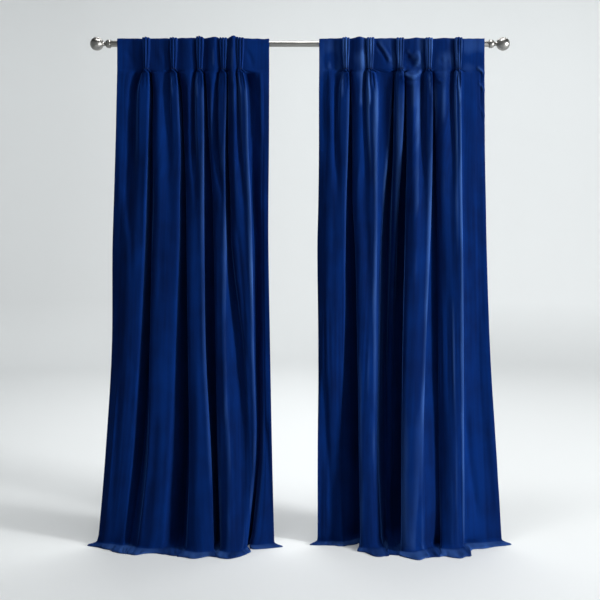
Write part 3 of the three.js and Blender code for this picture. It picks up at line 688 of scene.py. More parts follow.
@dataclass
class Curtain:
    """One velvet panel: its heading with five triple pleats, its folds and its hem.

    pleats holds the places of the pleats' middles, and heading those of its two side edges. swells
    holds how far each space between two pleats stands out in the heading, and tops holds (place, rise)
    pairs for the spots where the heading's upper edge stands up. knee is the last bend before the right
    side edge, and rise says how far from a recess to the next shoulder the cloth comes forward. hem is
    the outline of the cloth on the floor, as places along the rod and distances before its axis. A
    further value says how strongly highlights are painted in uneven patches over the stiff heading.

    pleat_top and pleat_tack are a pleat's widths at the heading's top and at its tacks. Below them it
    opens to pleat_opened, over the height of opening, and the cloth beside it stands back by gap.
    shoulder_turn is how far beside its shoulder a fold turns forward, high up and low down, and
    edge_round how far a crisp edge reaches. hem_aim is the way sideways, and hem_run the furthest and
    the least way forward, that the hem runs out over the floor, and its ends fan out by hem_fan, within
    fan_reach of a side edge.
    """

    side: str
    pleats: tuple[float, ...]
    heading: Point
    swells: tuple[float, ...]
    tops: tuple[Point, ...]
    left_edge: Trace
    knee: Trace
    right_edge: Trace
    rise: tuple[float, ...]
    folds: tuple[Fold, ...]
    hem: tuple[Point, ...]
    creases: tuple[Crease, ...] = ()
    seed: int = 1
    # How strongly highlights are painted in patches over the heading.
    heading_highlight: float = 0.1
    pleat_top: float = 31.0
    pleat_tack: float = 19.0
    pleat_opened: float = 26.0
    opening: float = 18.0
    gap: float = 24.0
    shoulder_turn: Point = (7.0, 1.5)
    edge_round: float = 7.0
    hem_aim: float = 19.2
    hem_run: Point = (-105.0, -22.0)
    hem_fan: float = 34.0
    fan_reach: float = 55.0
    sway: float = 2.2
    unevenness: float = 1.6
    drawn_threads: float = 0.8
    top_waver: float = 1.3
    hem_crinkle: float = 2.2
    # How strongly a highlight is painted on the hem band, and the least that is painted round bends;
    # then the bend at which painted light and shade are full.
    hem_highlight: float = 0.62
    resting_highlight: float = 0.15
    sharp_bend: float = 0.06
    columns_end: int = 32
    columns_space: int = 24
    columns_pleat: int = 38
    span_samples: int = 10
    marks: list[float] = field(init=False)
    cloth_columns: np.ndarray = field(init=False)

    def __post_init__(self) -> None:
        """Lay out the columns of the sheet as flat distances from its left side edge."""
        half = self.pleat_top / 2
        first = self.pleats[0] - half - self.heading[0]
        last = self.heading[1] - self.pleats[-1] - half
        space = (FLAT_WIDTH - first - last - 5 * PLEAT_CLOTH) / 4
        self.marks = [0.0, first]
        for _ in range(4):
            self.marks.append(self.marks[-1] + PLEAT_CLOTH)
            self.marks.append(self.marks[-1] + space)
        self.marks += [self.marks[-1] + PLEAT_CLOTH, FLAT_WIDTH]
        counts = [self.columns_end] + [self.columns_pleat, self.columns_space] * 4
        counts += [self.columns_pleat, self.columns_end]
        columns = [np.zeros(1)]
        for start, end, count in zip(self.marks, self.marks[1:], counts):
            columns.append(np.linspace(start, end, count + 1)[1:])
        self.cloth_columns = np.concatenate(columns)

    def _wave(self, use: Wave, phase: np.ndarray, waves: int = 4) -> np.ndarray:
        """Return one of the curtain's uneven waves, between about -1 and 1."""
        return ripple(self.seed + use.value, phase, waves)

    def _columns_in_metres(self) -> np.ndarray:
        """Return each column's flat distance from the left side edge, in metres."""
        return self.cloth_columns / 1000.0

    @staticmethod
    def _drop_in_metres(grid: np.ndarray) -> np.ndarray:
        """Return how far below the heading's top each row of a grid hangs, in metres."""
        return (HEADING_TOP - grid[:, 0, 2]) / 1000.0

    # ---- The heading, seen from above ----

    @staticmethod
    def _pleat_knots(
        middle: float, width: float, depth: float, base: float, opened: float
    ) -> list[Point]:
        """Return the knots of three rounded fingers that stand side by side.

        Args:
            middle: Place of the pleat along the rod.
            width: Width over the three fingers.
            depth: How far the fingers stand out.
            base: The y of the cloth beside the pleat.
            opened: 0 where the fingers are tacked, 1 where they have run into one broad fold.

        Returns:
            Knots as (x, y), from the pleat's left edge to its right edge.
        """
        broad = width * lerp(1 / 3, 0.6, opened)
        narrow = (width - broad) / 2
        knots = [(middle - width / 2, base)]
        beside = (broad + narrow) / 2
        # Each finger's way from the pleat's middle, its width, and its share of the full depth.
        fingers = ((-beside, narrow, 0.9), (0.0, broad, 1.0), (beside, narrow, 0.9))
        for n, (away, size, share) in enumerate(fingers):
            centre = middle + away
            tall = depth * share
            foot = lerp(0.35, 0.92 if n else 0.35, opened)
            heel = lerp(0.35, 0.92 if n < 2 else 0.35, opened)
            knots += [
                (centre - 0.36 * size, HEADING_Y - foot * tall),
                (centre - 0.34 * size, HEADING_Y - max(0.80, foot) * tall),
                (centre, HEADING_Y - tall),
                (centre + 0.34 * size, HEADING_Y - max(0.80, heel) * tall),
                (centre + 0.36 * size, HEADING_Y - heel * tall),
            ]
            if n < 2:
                knots.append((centre + 0.5 * size, HEADING_Y - lerp(0.06, 0.86, opened) * tall))
        knots.append((middle + width / 2, base))
        return knots

    def _heading_section(self, width: float, opened: float = 0.0) -> np.ndarray:
        """Return the heading's section, its fingers as deep as the cloth's flat width allows.

        Args:
            width: Width of a pleat at this height.
            opened: How far the fingers have run together below their tack.

        Returns:
            Points of shape (columns, 2).
        """
        base = HEADING_Y + self.gap * opened
        ease, bend = 8.0, lerp(HEADING_Y, base, 0.4)
        # Shares of the way from a pleat to the next one, and of the swell there.
        swelling = (
            (0.0, 0.0), (0.1, 0.12), (0.3, 0.55), (0.55, 0.94), (0.75, 1.0), (0.92, 0.55), (1.0, 0.0),
        )

        def space(i: int, start: float, end: float) -> np.ndarray:
            """Return the cloth between pleats i - 1 and i, or beside the first or the last pleat."""
            if i == 0:
                flat = lerp(start, end, 0.6)
                knots = [(start, HEADING_Y), (flat, HEADING_Y), (end - ease, bend), (end, base)]
            elif i == len(self.pleats):
                flat = lerp(start, end, 0.4)
                knots = [(start, base), (start + ease, bend), (flat, HEADING_Y), (end, HEADING_Y)]
            else:
                forward = self.swells[i - 1] + base - HEADING_Y
                knots = [(lerp(start, end, x), base - y * forward) for x, y in swelling]
            return smooth_curve(np.array(knots), 8)

        def curves(depth: float) -> list[np.ndarray]:
            """Return the curves from mark to mark for one depth of the fingers."""
            found: list[np.ndarray] = []
            edge = self.heading[0]
            for i, middle in enumerate(self.pleats):
                found.append(space(i, edge, middle - width / 2))
                knots = self._pleat_knots(middle, width, depth, base, opened)
                found.append(smooth_curve(np.array(knots), 10))
                edge = middle + width / 2
            found.append(space(len(self.pleats), edge, self.heading[1]))
            return found

        depth = solve_rising(
            lambda d: sum(path_lengths(curve)[-1] for curve in curves(d)), FLAT_WIDTH, 8.0, 70.0
        )
        return self._spread(self.marks, curves(depth))

    def _spread(self, cuts: Sequence[float], curves: Sequence[np.ndarray]) -> np.ndarray:
        """Place the columns along a section.

        Args:
            cuts: Flat distances at which the curves start and the last one ends.
            curves: The section's curves, from left to right.

        Returns:
            Points of shape (columns, 2).
        """
        section = np.zeros((len(self.cloth_columns), 2))
        for start, end, curve in zip(cuts, cuts[1:], curves):
            chosen = (self.cloth_columns >= start - 1e-6) & (self.cloth_columns <= end + 1e-6)
            along = path_lengths(curve)
            place = (self.cloth_columns[chosen] - start) / (end - start) * along[-1]
            section[chosen, 0] = np.interp(place, along, curve[:, 0])
            section[chosen, 1] = np.interp(place, along, curve[:, 1])
        return section

    # ---- The folds, seen from above ----

    def _beside(self, corner: Point, other: Point) -> Point:
        """Return a point close to a corner, on the way to another point."""
        share = self.edge_round / max(math.dist(corner, other), 2.5 * self.edge_round)
        return lerp(corner[0], other[0], share), lerp(corner[1], other[1], share)

    def _crisp_face(self, face: Sequence[Point]) -> list[Point]:
        """Return a fold's face with points close to its lip and to its end, which keep both crisp."""
        *left, lip, ridge = face[:5]
        crisp = [*left, self._beside(lip, left[-1]), lip, self._beside(lip, ridge), *face[4:]]
        crisp.insert(-1, self._beside(crisp[-1], crisp[-2]))
        return crisp

    def _fold_knots(self, z: float, full_depth: float) -> tuple[np.ndarray, list[int], list[int]]:
        """Return one height's knots, and which of them are the left feet of pleats and the recesses.

        Args:
            z: Height in millimetres.
            full_depth: Depth of a recess whose share is 1.

        Returns:
            Knots of shape (n, 2), the numbers of the feet, and the numbers of the recesses' bottoms.
        """
        rise = level_value(self.rise, z)
        corner = lerp(*self.shoulder_turn, float(smoothstep(-z, 300.0, 900.0)))
        here_x, here_y = trace_point(self.left_edge, z)
        knots = [(here_x, here_y)]
        feet, recesses = [], []
        for i, fold in enumerate(self.folds):
            face = fold.face(z)
            (shoulder_x, shoulder_y), (last_x, last_y) = face[0], face[-1]
            recess_x, deep = trace_values(fold.recess, z)
            recess_y = last_y + deep * full_depth
            fall = level_value(fold.fall, z)
            lean = UNDERCUT * fall * deep if fall < 0 else fall * (recess_x - last_x)
            knots.append((lerp(here_x, shoulder_x, rise if i else 0.5), lerp(here_y, shoulder_y, 0.5)))
            if i:
                turn = min(RIDGE_ROUND, 0.2 * max(here_y - shoulder_y, 0.0))
                knots.append((shoulder_x - corner, shoulder_y + turn))
            feet.append(len(knots) + 2)
            knots += [
                *self._crisp_face(face),
                (last_x + 1.5, last_y + min(RIDGE_ROUND, 0.2 * (recess_y - last_y))),
                (last_x + lean, lerp(last_y, recess_y, 0.5)),
                (recess_x, recess_y),
            ]
            recesses.append(len(knots) - 1)
            here_x, here_y = recess_x, recess_y
        knots += [trace_point(self.knee, z), trace_point(self.right_edge, z)]
        return np.array(knots), feet, recesses

    def _cuts(self, z: float, depth: float, along: np.ndarray) -> tuple[list[int], list[float]]:
        """Match the fine curve of a section with the flat cloth, at the pleats' feet and the recesses.

        High up each pleat keeps the cloth between its two marks, and further down that has evened out.

        Args:
            z: Height in millimetres.
            depth: Depth of a recess whose share is 1.
            along: Distances along the fine curve.

        Returns:
            Numbers of points on the curve, and the flat distances from the left side edge found there.
        """
        _, feet, recesses = self._fold_knots(z, depth)
        held = 1.0 - float(smoothstep(-z, 180.0, 620.0))
        ends, cuts = [0], [0.0]
        for fold, foot, recess in zip(self.folds, feet, recesses):
            before, start = cuts[-1], ends[-1]
            middle, end = foot * self.span_samples, recess * self.span_samples
            _, share = trace_values(fold.recess, z)
            taken = held * min(0.95 * depth * share, fold.slack)
            bottom = self.marks[fold.mark] + (taken if fold.mark % 2 else -taken)
            if fold.foot:
                natural = (along[middle] - along[start]) / (along[end] - along[start])
                ends.append(middle)
                cuts.append(lerp(lerp(before, bottom, natural), self.marks[fold.foot], held))
            ends.append(end)
            cuts.append(bottom)
        return [*ends, len(along) - 1], [*cuts, FLAT_WIDTH]

    def _fold_section(self, z: float) -> np.ndarray:
        """Return one height's section, its recesses as deep as the cloth's flat width allows."""

        def curve(depth: float) -> np.ndarray:
            """Return the fine curve for one depth of the recesses."""
            return smooth_curve(self._fold_knots(z, depth)[0], self.span_samples)

        depth = solve_rising(lambda d: path_lengths(curve(d))[-1], FLAT_WIDTH, 12.0, 220.0)
        fine = curve(depth)
        ends, cuts = self._cuts(z, depth, path_lengths(fine))
        section = self._spread(cuts, [fine[a : b + 1] for a, b in zip(ends, ends[1:])])
        soft = float(smoothstep(-z, 200.0, 700.0))
        return lerp(section, self._rounded(section), soft)

    @staticmethod
    def _rounded(section: np.ndarray) -> np.ndarray:
        """Return a section with its bends eased, as a pile cloth of some stiffness has them."""
        window = smoothing_window(7)[1:-1]
        mirrored = np.vstack(
            [2 * section[0] - section[2:0:-1], section, 2 * section[-1] - section[-2:-4:-1]]
        )
        return np.stack([np.convolve(mirrored[:, n], window, mode="valid") for n in range(2)], axis=1)

    # ---- The sheet ----

    def _opening_section(self, z: float) -> np.ndarray:
        """Return a section below the tacks, where the three fingers spread and run together."""
        below = (TACK_Z - z) / self.opening
        width = lerp(self.pleat_tack, self.pleat_opened, float(smoothstep(below, -0.2, 1.0)))
        fingers = self._heading_section(width, 0.8 * float(smoothstep(below, 0.0, 1.0)))
        return lerp(fingers, self._fold_section(z), float(smoothstep(below, 0.0, 1.0)))

    def _section(self, z: float) -> np.ndarray:
        """Return the section of the sheet at a height above its hem."""
        if z >= TACK_Z:
            # The pleats keep their width near the top, and narrow further down.
            pinch = float(smoothstep(HEADING_TOP - z, 20.0, HEADING_TOP - TACK_Z + 30.0)) / 0.90
            return self._heading_section(lerp(self.pleat_top, self.pleat_tack, pinch))
        if z > TACK_Z - self.opening:
            return self._opening_section(z)
        return self._fold_section(z)

    @staticmethod
    def _row_heights() -> np.ndarray:
        """Return the heights of the rows above the hem, closer together in the heading."""
        return np.concatenate(
            [
                np.linspace(HEADING_TOP, TACK_Z + 7, 14),
                np.linspace(TACK_Z, TACK_Z - 21, 8),
                np.linspace(TACK_Z - 26, TACK_Z - 90, 10),
                np.linspace(TACK_Z - 100, -300.0, 10),
                np.linspace(-318.0, -1990.0, 70),
                np.array([-2010.0, -2028.0]),
            ]
        )

    def _kicks(self, bend: np.ndarray) -> np.ndarray:
        """Return how each column's hem runs out over the floor from its bend.

        Args:
            bend: Section of the sheet at the bend of the hem.

        Returns:
            Vectors of shape (columns, 2).
        """
        along = np.gradient(bend, axis=0)
        along /= np.maximum(np.linalg.norm(along, axis=1, keepdims=True), 1e-9)
        out = np.stack([along[:, 1], -along[:, 0]], axis=1)
        outline = smooth_curve(np.array(self.hem, float), 8)
        aim_x = bend[:, 0] + out[:, 0] * self.hem_aim
        aim_y = -np.interp(aim_x, outline[:, 0], outline[:, 1])
        kick = np.stack([aim_x - bend[:, 0], np.clip(aim_y - bend[:, 1], *self.hem_run)], axis=1)
        # Only cloth that faces the room is aimed at the outline. What lies between follows it.
        faces = along[:, 0] > 0.35
        faces[[0, -1]] = True
        numbers = np.arange(len(bend))
        for n in range(2):
            kick[:, n] = np.interp(numbers, numbers[faces], kick[faces, n])
        # Cloth far back in a recess runs out less.
        kick *= lerp(1.0, 0.35, smoothstep(bend[:, 1], -45.0, 5.0))[:, None]
        fan = np.exp(-self.cloth_columns / self.fan_reach)
        fan -= np.exp(-(FLAT_WIDTH - self.cloth_columns) / self.fan_reach)
        kick[:, 0] -= self.hem_fan * fan
        window = smoothing_window(15)
        padded = np.pad(kick, ((7, 7), (0, 0)), mode="edge")
        return np.stack([np.convolve(padded[:, n], window, mode="valid") for n in range(2)], axis=1)

    def _hem_rows(self) -> list[np.ndarray]:
        """Return the rows of the hem, which bends out over a soft corner and lies on the floor."""
        bend = self._fold_section(LEVELS[-1])
        kicks = self._kicks(bend)
        # Shares of the way out, with heights over the floor, from the bend to the hem's edge.
        profile = (
            (0.0, 32.0), (0.0, 22.0), (0.03, 15.5), (0.13, 11.5), (0.34, 9.0),
            (0.62, 7.2), (0.86, 6.0), (0.965, 4.2), (1.0, 1.2),
        )
        cloth = self._columns_in_metres()
        crinkle = self.hem_crinkle * self._wave(Wave.HEM_CRINKLE, cloth * 62.0, 5)
        reach = 1.0 + 0.10 * self._wave(Wave.HEM_REACH, cloth * 27.0, 5)
        rows = []
        for out, height in smooth_curve(np.array(profile), 3):
            z = FLOOR_Z + height
            section = self._fold_section(max(z, LEVELS[-1]))
            lift = crinkle * float(smoothstep(out, 0.1, 0.7) * (1 - smoothstep(out, 0.9, 1.0)))
            place = section + kicks * (out * reach)[:, None]
            rows.append(np.column_stack([place, z + lift]))
        return rows

    def _grid(self) -> np.ndarray:
        """Return the sheet's middle surface as a grid of points, in millimetres."""
        rows = []
        for z in self._row_heights():
            section = self._section(float(z))
            rows.append(np.column_stack([section, np.full(len(section), z)]))
        return np.array(rows + self._hem_rows())

    def _press(self, grid: np.ndarray) -> np.ndarray:
        """Press the troughs and ridges into the sheet, along its own normals."""
        normal = grid_normals(grid)
        facing = np.clip(-normal[..., 1], 0.0, 1.0)
        flat = np.broadcast_to(self.cloth_columns[None, :], grid.shape[:2])
        push = np.zeros(grid.shape[:2])
        for crease in (*self.creases, *self._finger_lines(), *self._hem_lines()):
            place = flat if crease.across is Across.CLOTH else grid[..., 0]
            push += crease.height * crease.share(place, grid[..., 2])
        return grid + normal * (push * facing)[..., None]

    def _finger_lines(self) -> list[Crease]:
        """Return the two troughs that part each pleat's fingers as they spread below the tack."""
        lines = []
        for fold, middle in zip(self.folds, self.pleats):
            right = fold.ridge[1][0]
            left = right - fold.lens
            for start, share in ((middle - 3.0, 0.2), (middle + 3.0, 0.8)):
                end = lerp(left, right, share)
                halfway = (lerp(start, end, 0.5), TACK_Z - 36.0)
                path = ((start, TACK_Z + 12.0), halfway, (end, TACK_Z - 100.0))
                lines.append(Crease(path, 3.6, -7.0, 55.0))
        return lines

    @staticmethod
    def _hem_lines() -> list[Crease]:
        """Return the shallow lines where the heading and the side hems are stitched down."""
        low = FLOOR_Z + 20.0
        seam = ((0.0, TACK_Z), (660.0, TACK_Z), (FLAT_WIDTH, TACK_Z))
        welt = ((0.0, TACK_Z - 16), (FLAT_WIDTH, TACK_Z - 16))
        return [
            Crease(seam, 4.0, -0.6, 4.0, Across.CLOTH),
            Crease(welt, 12.0, 0.5, 4.0, Across.CLOTH),
            *(
                Crease(((place, TACK_Z), (place, low)), 4.5, -1.0, 40.0, Across.CLOTH)
                for place in (SIDE_HEM, FLAT_WIDTH - SIDE_HEM)
            ),
        ]

    @staticmethod
    def _bends(grid: np.ndarray, normal: np.ndarray) -> np.ndarray:
        """Return how sharply the sheet bends sideways: above 0 on ridges, below 0 in hollows."""
        bend = np.zeros(grid.shape[:2])
        reach = 2
        middle = grid[:, reach:-reach]
        before, after = grid[:, : -2 * reach], grid[:, 2 * reach :]
        span = np.linalg.norm(after - middle, axis=2) * np.linalg.norm(middle - before, axis=2)
        turn = -((before + after - 2 * middle) * normal[:, reach:-reach]).sum(axis=2)
        bend[:, reach:-reach] = turn / np.maximum(span, 1.0)
        window = smoothing_window(7)
        return np.apply_along_axis(lambda row: np.convolve(row, window, mode="same"), 1, bend)

    def _ridge_highlight(self, z: np.ndarray) -> np.ndarray:
        """Return how strongly a highlight is painted on bends: most round the ridges, as their folds
        say.

        Args:
            z: Heights of the grid's points, of shape (rows, columns).

        Returns:
            Factors of the same shape.
        """
        places, shares = [0.0], [self.resting_highlight]
        ridges = []
        for fold in self.folds:
            mark, back = self.marks[fold.mark], 90.0 if fold.beyond else 0.0
            places += [mark - 170.0 - back, mark - 100.0 - back, mark - 0.5 * back, mark + 50.0 - back]
            shares += [self.resting_highlight, 1.0, 1.0, self.resting_highlight]
            ridges.append(mark - 50.0 - back)
        around = np.interp(self.cloth_columns, places, shares)
        high, low = (
            around * np.interp(self.cloth_columns, ridges, [fold.painted_highlight[n] for fold in self.folds])
            for n in range(2)
        )
        return lerp(high[None, :], low[None, :], smoothstep(-z, 500.0, 1300.0))

    def _heading_highlight_patches(self, grid: np.ndarray) -> np.ndarray:
        """Return the highlight painted over the stiff heading, in uneven patches."""
        drop = self._wave(Wave.RUFFLED_DROP, self._drop_in_metres(grid) * 31.0)
        cloth = self._wave(Wave.RUFFLED_CLOTH, self._columns_in_metres() * 13.0, 5)
        heading = smoothstep(grid[..., 2], TACK_Z - 90.0, TACK_Z + 10.0)
        return heading * self.heading_highlight * (0.75 + np.clip(np.outer(drop, cloth), -1.0, 1.0))

    def _painted_light(self, grid: np.ndarray) -> np.ndarray:
        """Return the painted light: a highlight above 0 on ridges, creases, the heading and the hem,
        and shade below 0 in hollows.
        """
        normal = grid_normals(grid)
        facing = np.clip(-normal[..., 1], 0.0, 1.0)
        z = grid[..., 2]
        # Bends get a painted highlight where they stand out and painted shade where they sink in.
        sharpness = np.clip(self._bends(grid, normal) / self.sharp_bend, -1.0, 1.0)
        below = smoothstep(-z, 120.0, 240.0) * self._ridge_highlight(z)
        above = (self.resting_highlight + self.heading_highlight) * smoothstep(z, TACK_Z, TACK_Z + 12.0)
        opened = sharpness * (below + above) + self._heading_highlight_patches(grid)
        for crease in self.creases:
            if crease.painted_highlight:
                opened = opened + crease.painted_highlight * crease.share(grid[..., 0], z) * facing
        # The hem band that lies on the floor gets a painted highlight.
        hem = smoothstep(-z, -FLOOR_Z - 14.0, -FLOOR_Z - 9.0)
        return np.maximum(opened, hem * self.hem_highlight)

    def _soften(self, grid: np.ndarray) -> np.ndarray:
        """Add the small unevenness of hung cloth, which grows towards the floor."""
        cloth, drop = self._columns_in_metres(), self._drop_in_metres(grid)
        amount = smoothstep(drop, 0.1, 0.6) * smoothstep(-drop, -2.09, -2.0)
        sway = self._wave(Wave.SWAY, drop * 3.1) * amount
        uneven = np.outer(
            self._wave(Wave.UNEVEN_DROP, drop * 9.0, 5) * amount,
            self._wave(Wave.UNEVEN_CLOTH, cloth * 21.0, 6),
        )
        drawn = np.outer(
            self._wave(Wave.DRAWN_DROP, drop * 2.3, 5) * amount,
            self._wave(Wave.DRAWN_CLOTH, cloth * 58.0, 6),
        )
        grid = grid.copy()
        grid[..., 1] += self.sway * sway[:, None]
        grid[..., 1] += self.unevenness * uneven + self.drawn_threads * drawn
        near_top = np.exp(-((drop / 0.03) ** 2))[:, None]
        rise = self.top_waver * self._wave(Wave.TOP_EDGE, cloth * 34.0, 5)
        for place, height in self.tops:
            rise = rise + height * np.exp(-(((grid[0, :, 0] - place) / 15.0) ** 2))
        grid[..., 2] += near_top * rise[None, :]
        return grid

    def pleat_outline(self, number: int, z: float, clearance: float) -> np.ndarray:
        """Return the outline round the front of a pleat's tacked fingers.

        Args:
            number: Number of the pleat, from 0 at the left.
            z: Height of the outline.
            clearance: How far it stays off the middle of the cloth.

        Returns:
            Points of shape (n, 2), from the pleat's left foot to its right foot.
        """
        section = self._section(z)
        start, end = self.marks[2 * number + 1], self.marks[2 * number + 2]
        fingers = section[(self.cloth_columns >= start) & (self.cloth_columns <= end)]
        angles = np.radians(np.linspace(180.0, 360.0, 31))
        away = np.stack([np.cos(angles), np.sin(angles)], axis=1)
        outermost = fingers[np.argmax(fingers @ away.T, axis=0)]
        outline = outermost + away * clearance
        outline[0, 1] = outline[-1, 1] = HEADING_Y - CLOTH_THICKNESS
        return outline

    def build(self) -> bpy.types.Object:
        """Make the sheet's mesh, with its cloth coordinates and its thickness.

        Returns:
            The finished piece, in metres.
        """
        grid = self._press(self._soften(self._grid()))
        grid[..., 2] = np.maximum(grid[..., 2], FLOOR_Z + CLOTH_THICKNESS * 0.6)
        mesh = grid_mesh(f"velvet_{self.side}", grid)
        steps = np.linalg.norm(np.diff(grid, axis=0), axis=2).mean(axis=1)
        drop = np.concatenate([[0.0], np.cumsum(steps)])
        flat = np.stack(
            np.broadcast_arrays(self.cloth_columns[None, :] * MM, (-drop * MM)[:, None]), axis=-1
        ).reshape(-1, 2)
        layer = mesh.uv_layers.new(name="cloth")
        corners = np.array([loop.vertex_index for loop in mesh.loops])
        layer.data.foreach_set("uv", flat[corners].astype(np.float32).ravel())
        # The painted highlight and shade that the velvet reads.
        opened = mesh.attributes.new("painted light", "FLOAT", "POINT")
        opened.data.foreach_set("value", self._painted_light(grid).astype(np.float32).ravel())
        piece = added(f"velvet_{self.side}", mesh)
        thicken(piece, CLOTH_THICKNESS)
        apply_modifiers(piece)
        piece.data.shade_smooth()
        return piece

    def dress(self, piece: bpy.types.Object, finish: Velvet) -> None:
        """Give the sheet its velvet, attach it to the root body, and hide the part that it stands in
        for.
        """
        piece.data.materials.append(finish.material())
        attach(piece, "root")
        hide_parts(f"curtain_{self.side}")


# ---------------------------------------------------------------------------------------------------
# What holds the curtains: stitches, tabs, rod and finials
# ---------------------------------------------------------------------------------------------------


@dataclass(frozen=True)
class TackStitches:
    """The rounds of thread that hold the three fingers of every pleat together."""

    side: str
    radius: float = 0.55
    sides: int = 8
    rounds: tuple[float, ...] = (0.5, -1.5)

    def _tube(self, path: np.ndarray, first: int) -> tuple[np.ndarray, list[tuple[int, ...]]]:
        """Return one thread's points and faces.

        Args:
            path: Points of shape (n, 3) along the thread.
            first: Number of the thread's first point in the whole mesh.

        Returns:
            The points, and the faces as tuples of point numbers.
        """
        along = np.gradient(path, axis=0)
        along /= np.linalg.norm(along, axis=1, keepdims=True)
        across = np.cross(along, (0.0, 0.0, 1.0))
        upward = np.cross(across, along)
        turns = np.linspace(0.0, 2.0 * np.pi, self.sides, endpoint=False)[None, :, None]
        spokes = np.cos(turns) * across[:, None] + np.sin(turns) * upward[:, None]
        rings = path[:, None] + self.radius * spokes
        faces: list[tuple[int, ...]] = []
        last = first + (len(path) - 1) * self.sides
        for low in range(first, last, self.sides):
            faces += ring_quads(low, low + self.sides, self.sides)
        faces.append(tuple(first + n for n in reversed(range(self.sides))))
        faces.append(tuple(last + n for n in range(self.sides)))
        return rings.reshape(-1, 3), faces

    def build(self, curtain: Curtain) -> bpy.types.Object:
        """Wind the thread round every pleat of a curtain.

        Args:
            curtain: The curtain whose pleats are tacked.

        Returns:
            The finished piece, in metres.
        """
        points: list[np.ndarray] = []
        faces: list[tuple[int, ...]] = []
        for number in range(len(curtain.pleats)):
            outline = curtain.pleat_outline(number, TACK_Z, (CLOTH_THICKNESS + self.radius) / 2)
            for rise in self.rounds:
                slant = np.linspace(-0.9, 0.9, len(outline)) + TACK_Z + rise
                found, made = self._tube(np.column_stack([outline, slant]), sum(map(len, points)))
                points.append(found)
                faces += made
        mesh = bpy.data.meshes.new(f"tack_stitches_{self.side}")
        mesh.from_pydata((np.vstack(points) * MM).tolist(), [], faces)
        mesh.shade_smooth()
        piece = added(f"tack_stitches_{self.side}", mesh)
        piece.data.materials.append(Thread(f"tack thread {self.side}").material())
        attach(piece, "root")
        return piece


@dataclass(frozen=True)
class Tabs:
    """The cloth strips behind the headings: sewn on, over the rod, and sewn on again lower down."""

    width: float = 38.0
    thickness: float = 1.3
    loop_radius: float = 13.7
    top_seam: float = 8.0
    low_seam_z: float = -88.0
    low_seam: float = 12.0
    edge_inset: float = 32.0
    hem_line: float = 14.5

    def _path(self) -> np.ndarray:
        """Return the strip's line seen from its side, as (y, z) points from the top seam round."""
        reach = math.hypot(self.loop_radius, self.low_seam_z)
        towards = math.atan2(self.low_seam_z, -self.loop_radius)
        leaving = towards + math.acos(self.loop_radius / reach)
        arc = [
            (self.loop_radius * math.cos(angle), self.loop_radius * math.sin(angle))
            for angle in np.linspace(math.pi, leaving, 25)
        ]
        end = (-self.loop_radius, self.low_seam_z)
        straight = [
            (lerp(arc[-1][0], end[0], share), lerp(arc[-1][1], end[1], share))
            for share in np.linspace(0.0, 1.0, 15)[1:]
        ]
        seam = [(end[0], end[1] - self.low_seam * n / 4) for n in range(1, 5)]
        start = [(-self.loop_radius, -self.top_seam * (1 - n / 3)) for n in range(3)]
        return np.array([*start, *arc, *straight, *seam])

    def _model(self) -> bpy.types.Object:
        """Make one strip in the middle of the rod, with its turned-in edges and its stitch lines."""
        path = self._path()
        along = np.gradient(path, axis=0)
        along /= np.linalg.norm(along, axis=1, keepdims=True)
        outward = np.stack([along[:, 1], -along[:, 0]], axis=1) * -1.0
        across = np.linspace(-self.width / 2, self.width / 2, 17)
        pressed = -0.25 * np.exp(-(((np.abs(across) - self.hem_line) / 1.2) ** 2))
        place = path[:, None, :] + outward[:, None, :] * pressed[None, :, None]
        wander = 0.35 * ripple(3, path_lengths(path) / 40.0, 4)
        grid = np.dstack([across[None, :] + wander[:, None], place])
        piece = added("tab_strip", grid_mesh("tab_strip", grid))
        thicken(piece, self.thickness)
        soft = piece.modifiers.new("soft edges", "BEVEL")
        soft.width = 0.4 * MM
        soft.segments = 2
        apply_modifiers(piece)
        piece.data.shade_smooth()
        return piece

    def build(self, curtains: Sequence[Curtain]) -> list[bpy.types.Object]:
        """Hang a copy of the strip behind every pleat and beside every side edge.

        Args:
            curtains: The two curtains.

        Returns:
            The finished strips, in metres.
        """
        model = self._model()
        finish = TabCloth().material()
        length = float(path_lengths(self._path())[-1])
        made = []
        for curtain in curtains:
            left, right = curtain.heading
            places = (left + self.edge_inset, *curtain.pleats, right - self.edge_inset)
            for number, place in enumerate(places, 1):
                mesh = model.data.copy()
                mesh.transform(Matrix.Translation((place * MM, 0.0, 0.0)))
                mesh.materials.append(finish)
                strip = added(f"tab_strip_{curtain.side}_{number}", mesh)
                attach(strip, "root")
                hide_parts(f"tab_{curtain.side}_{number}")
                self.width * MM
                made.append(strip)
        bpy.data.objects.remove(model)
        return made


@dataclass(frozen=True)
class RodTube:
    """The round rod, with its ends eased."""

    radius: float = 12.7
    sides: int = 72
    eased: float = 0.8

    def build(self) -> bpy.types.Object:
        """Turn the rod between its two finials."""
        low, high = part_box("rod")
        bpy.ops.object.select_all(action="DESELECT")
        bpy.ops.mesh.primitive_cylinder_add(
            vertices=self.sides,
            radius=self.radius * MM,
            depth=high[0] - low[0],
            location=((low[0] + high[0]) / 2, 0.0, 0.0),
            rotation=(0.0, math.radians(90.0), 0.0),
        )
        piece = bpy.context.object
        piece.name = "rod_tube"
        bpy.ops.object.transform_apply(location=True, rotation=True, scale=True)
        edges = piece.modifiers.new("eased ends", "BEVEL")
        edges.width = self.eased * MM
        edges.segments = 3
        edges.limit_method = "ANGLE"
        edges.angle_limit = math.radians(60.0)
        apply_modifiers(piece)
        piece.select_set(True)
        bpy.ops.object.shade_smooth_by_angle(angle=math.radians(40.0))
        piece.data.materials.append(BrushedNickel("rod nickel").material())
        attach(piece, "root")
        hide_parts("rod")
        return piece


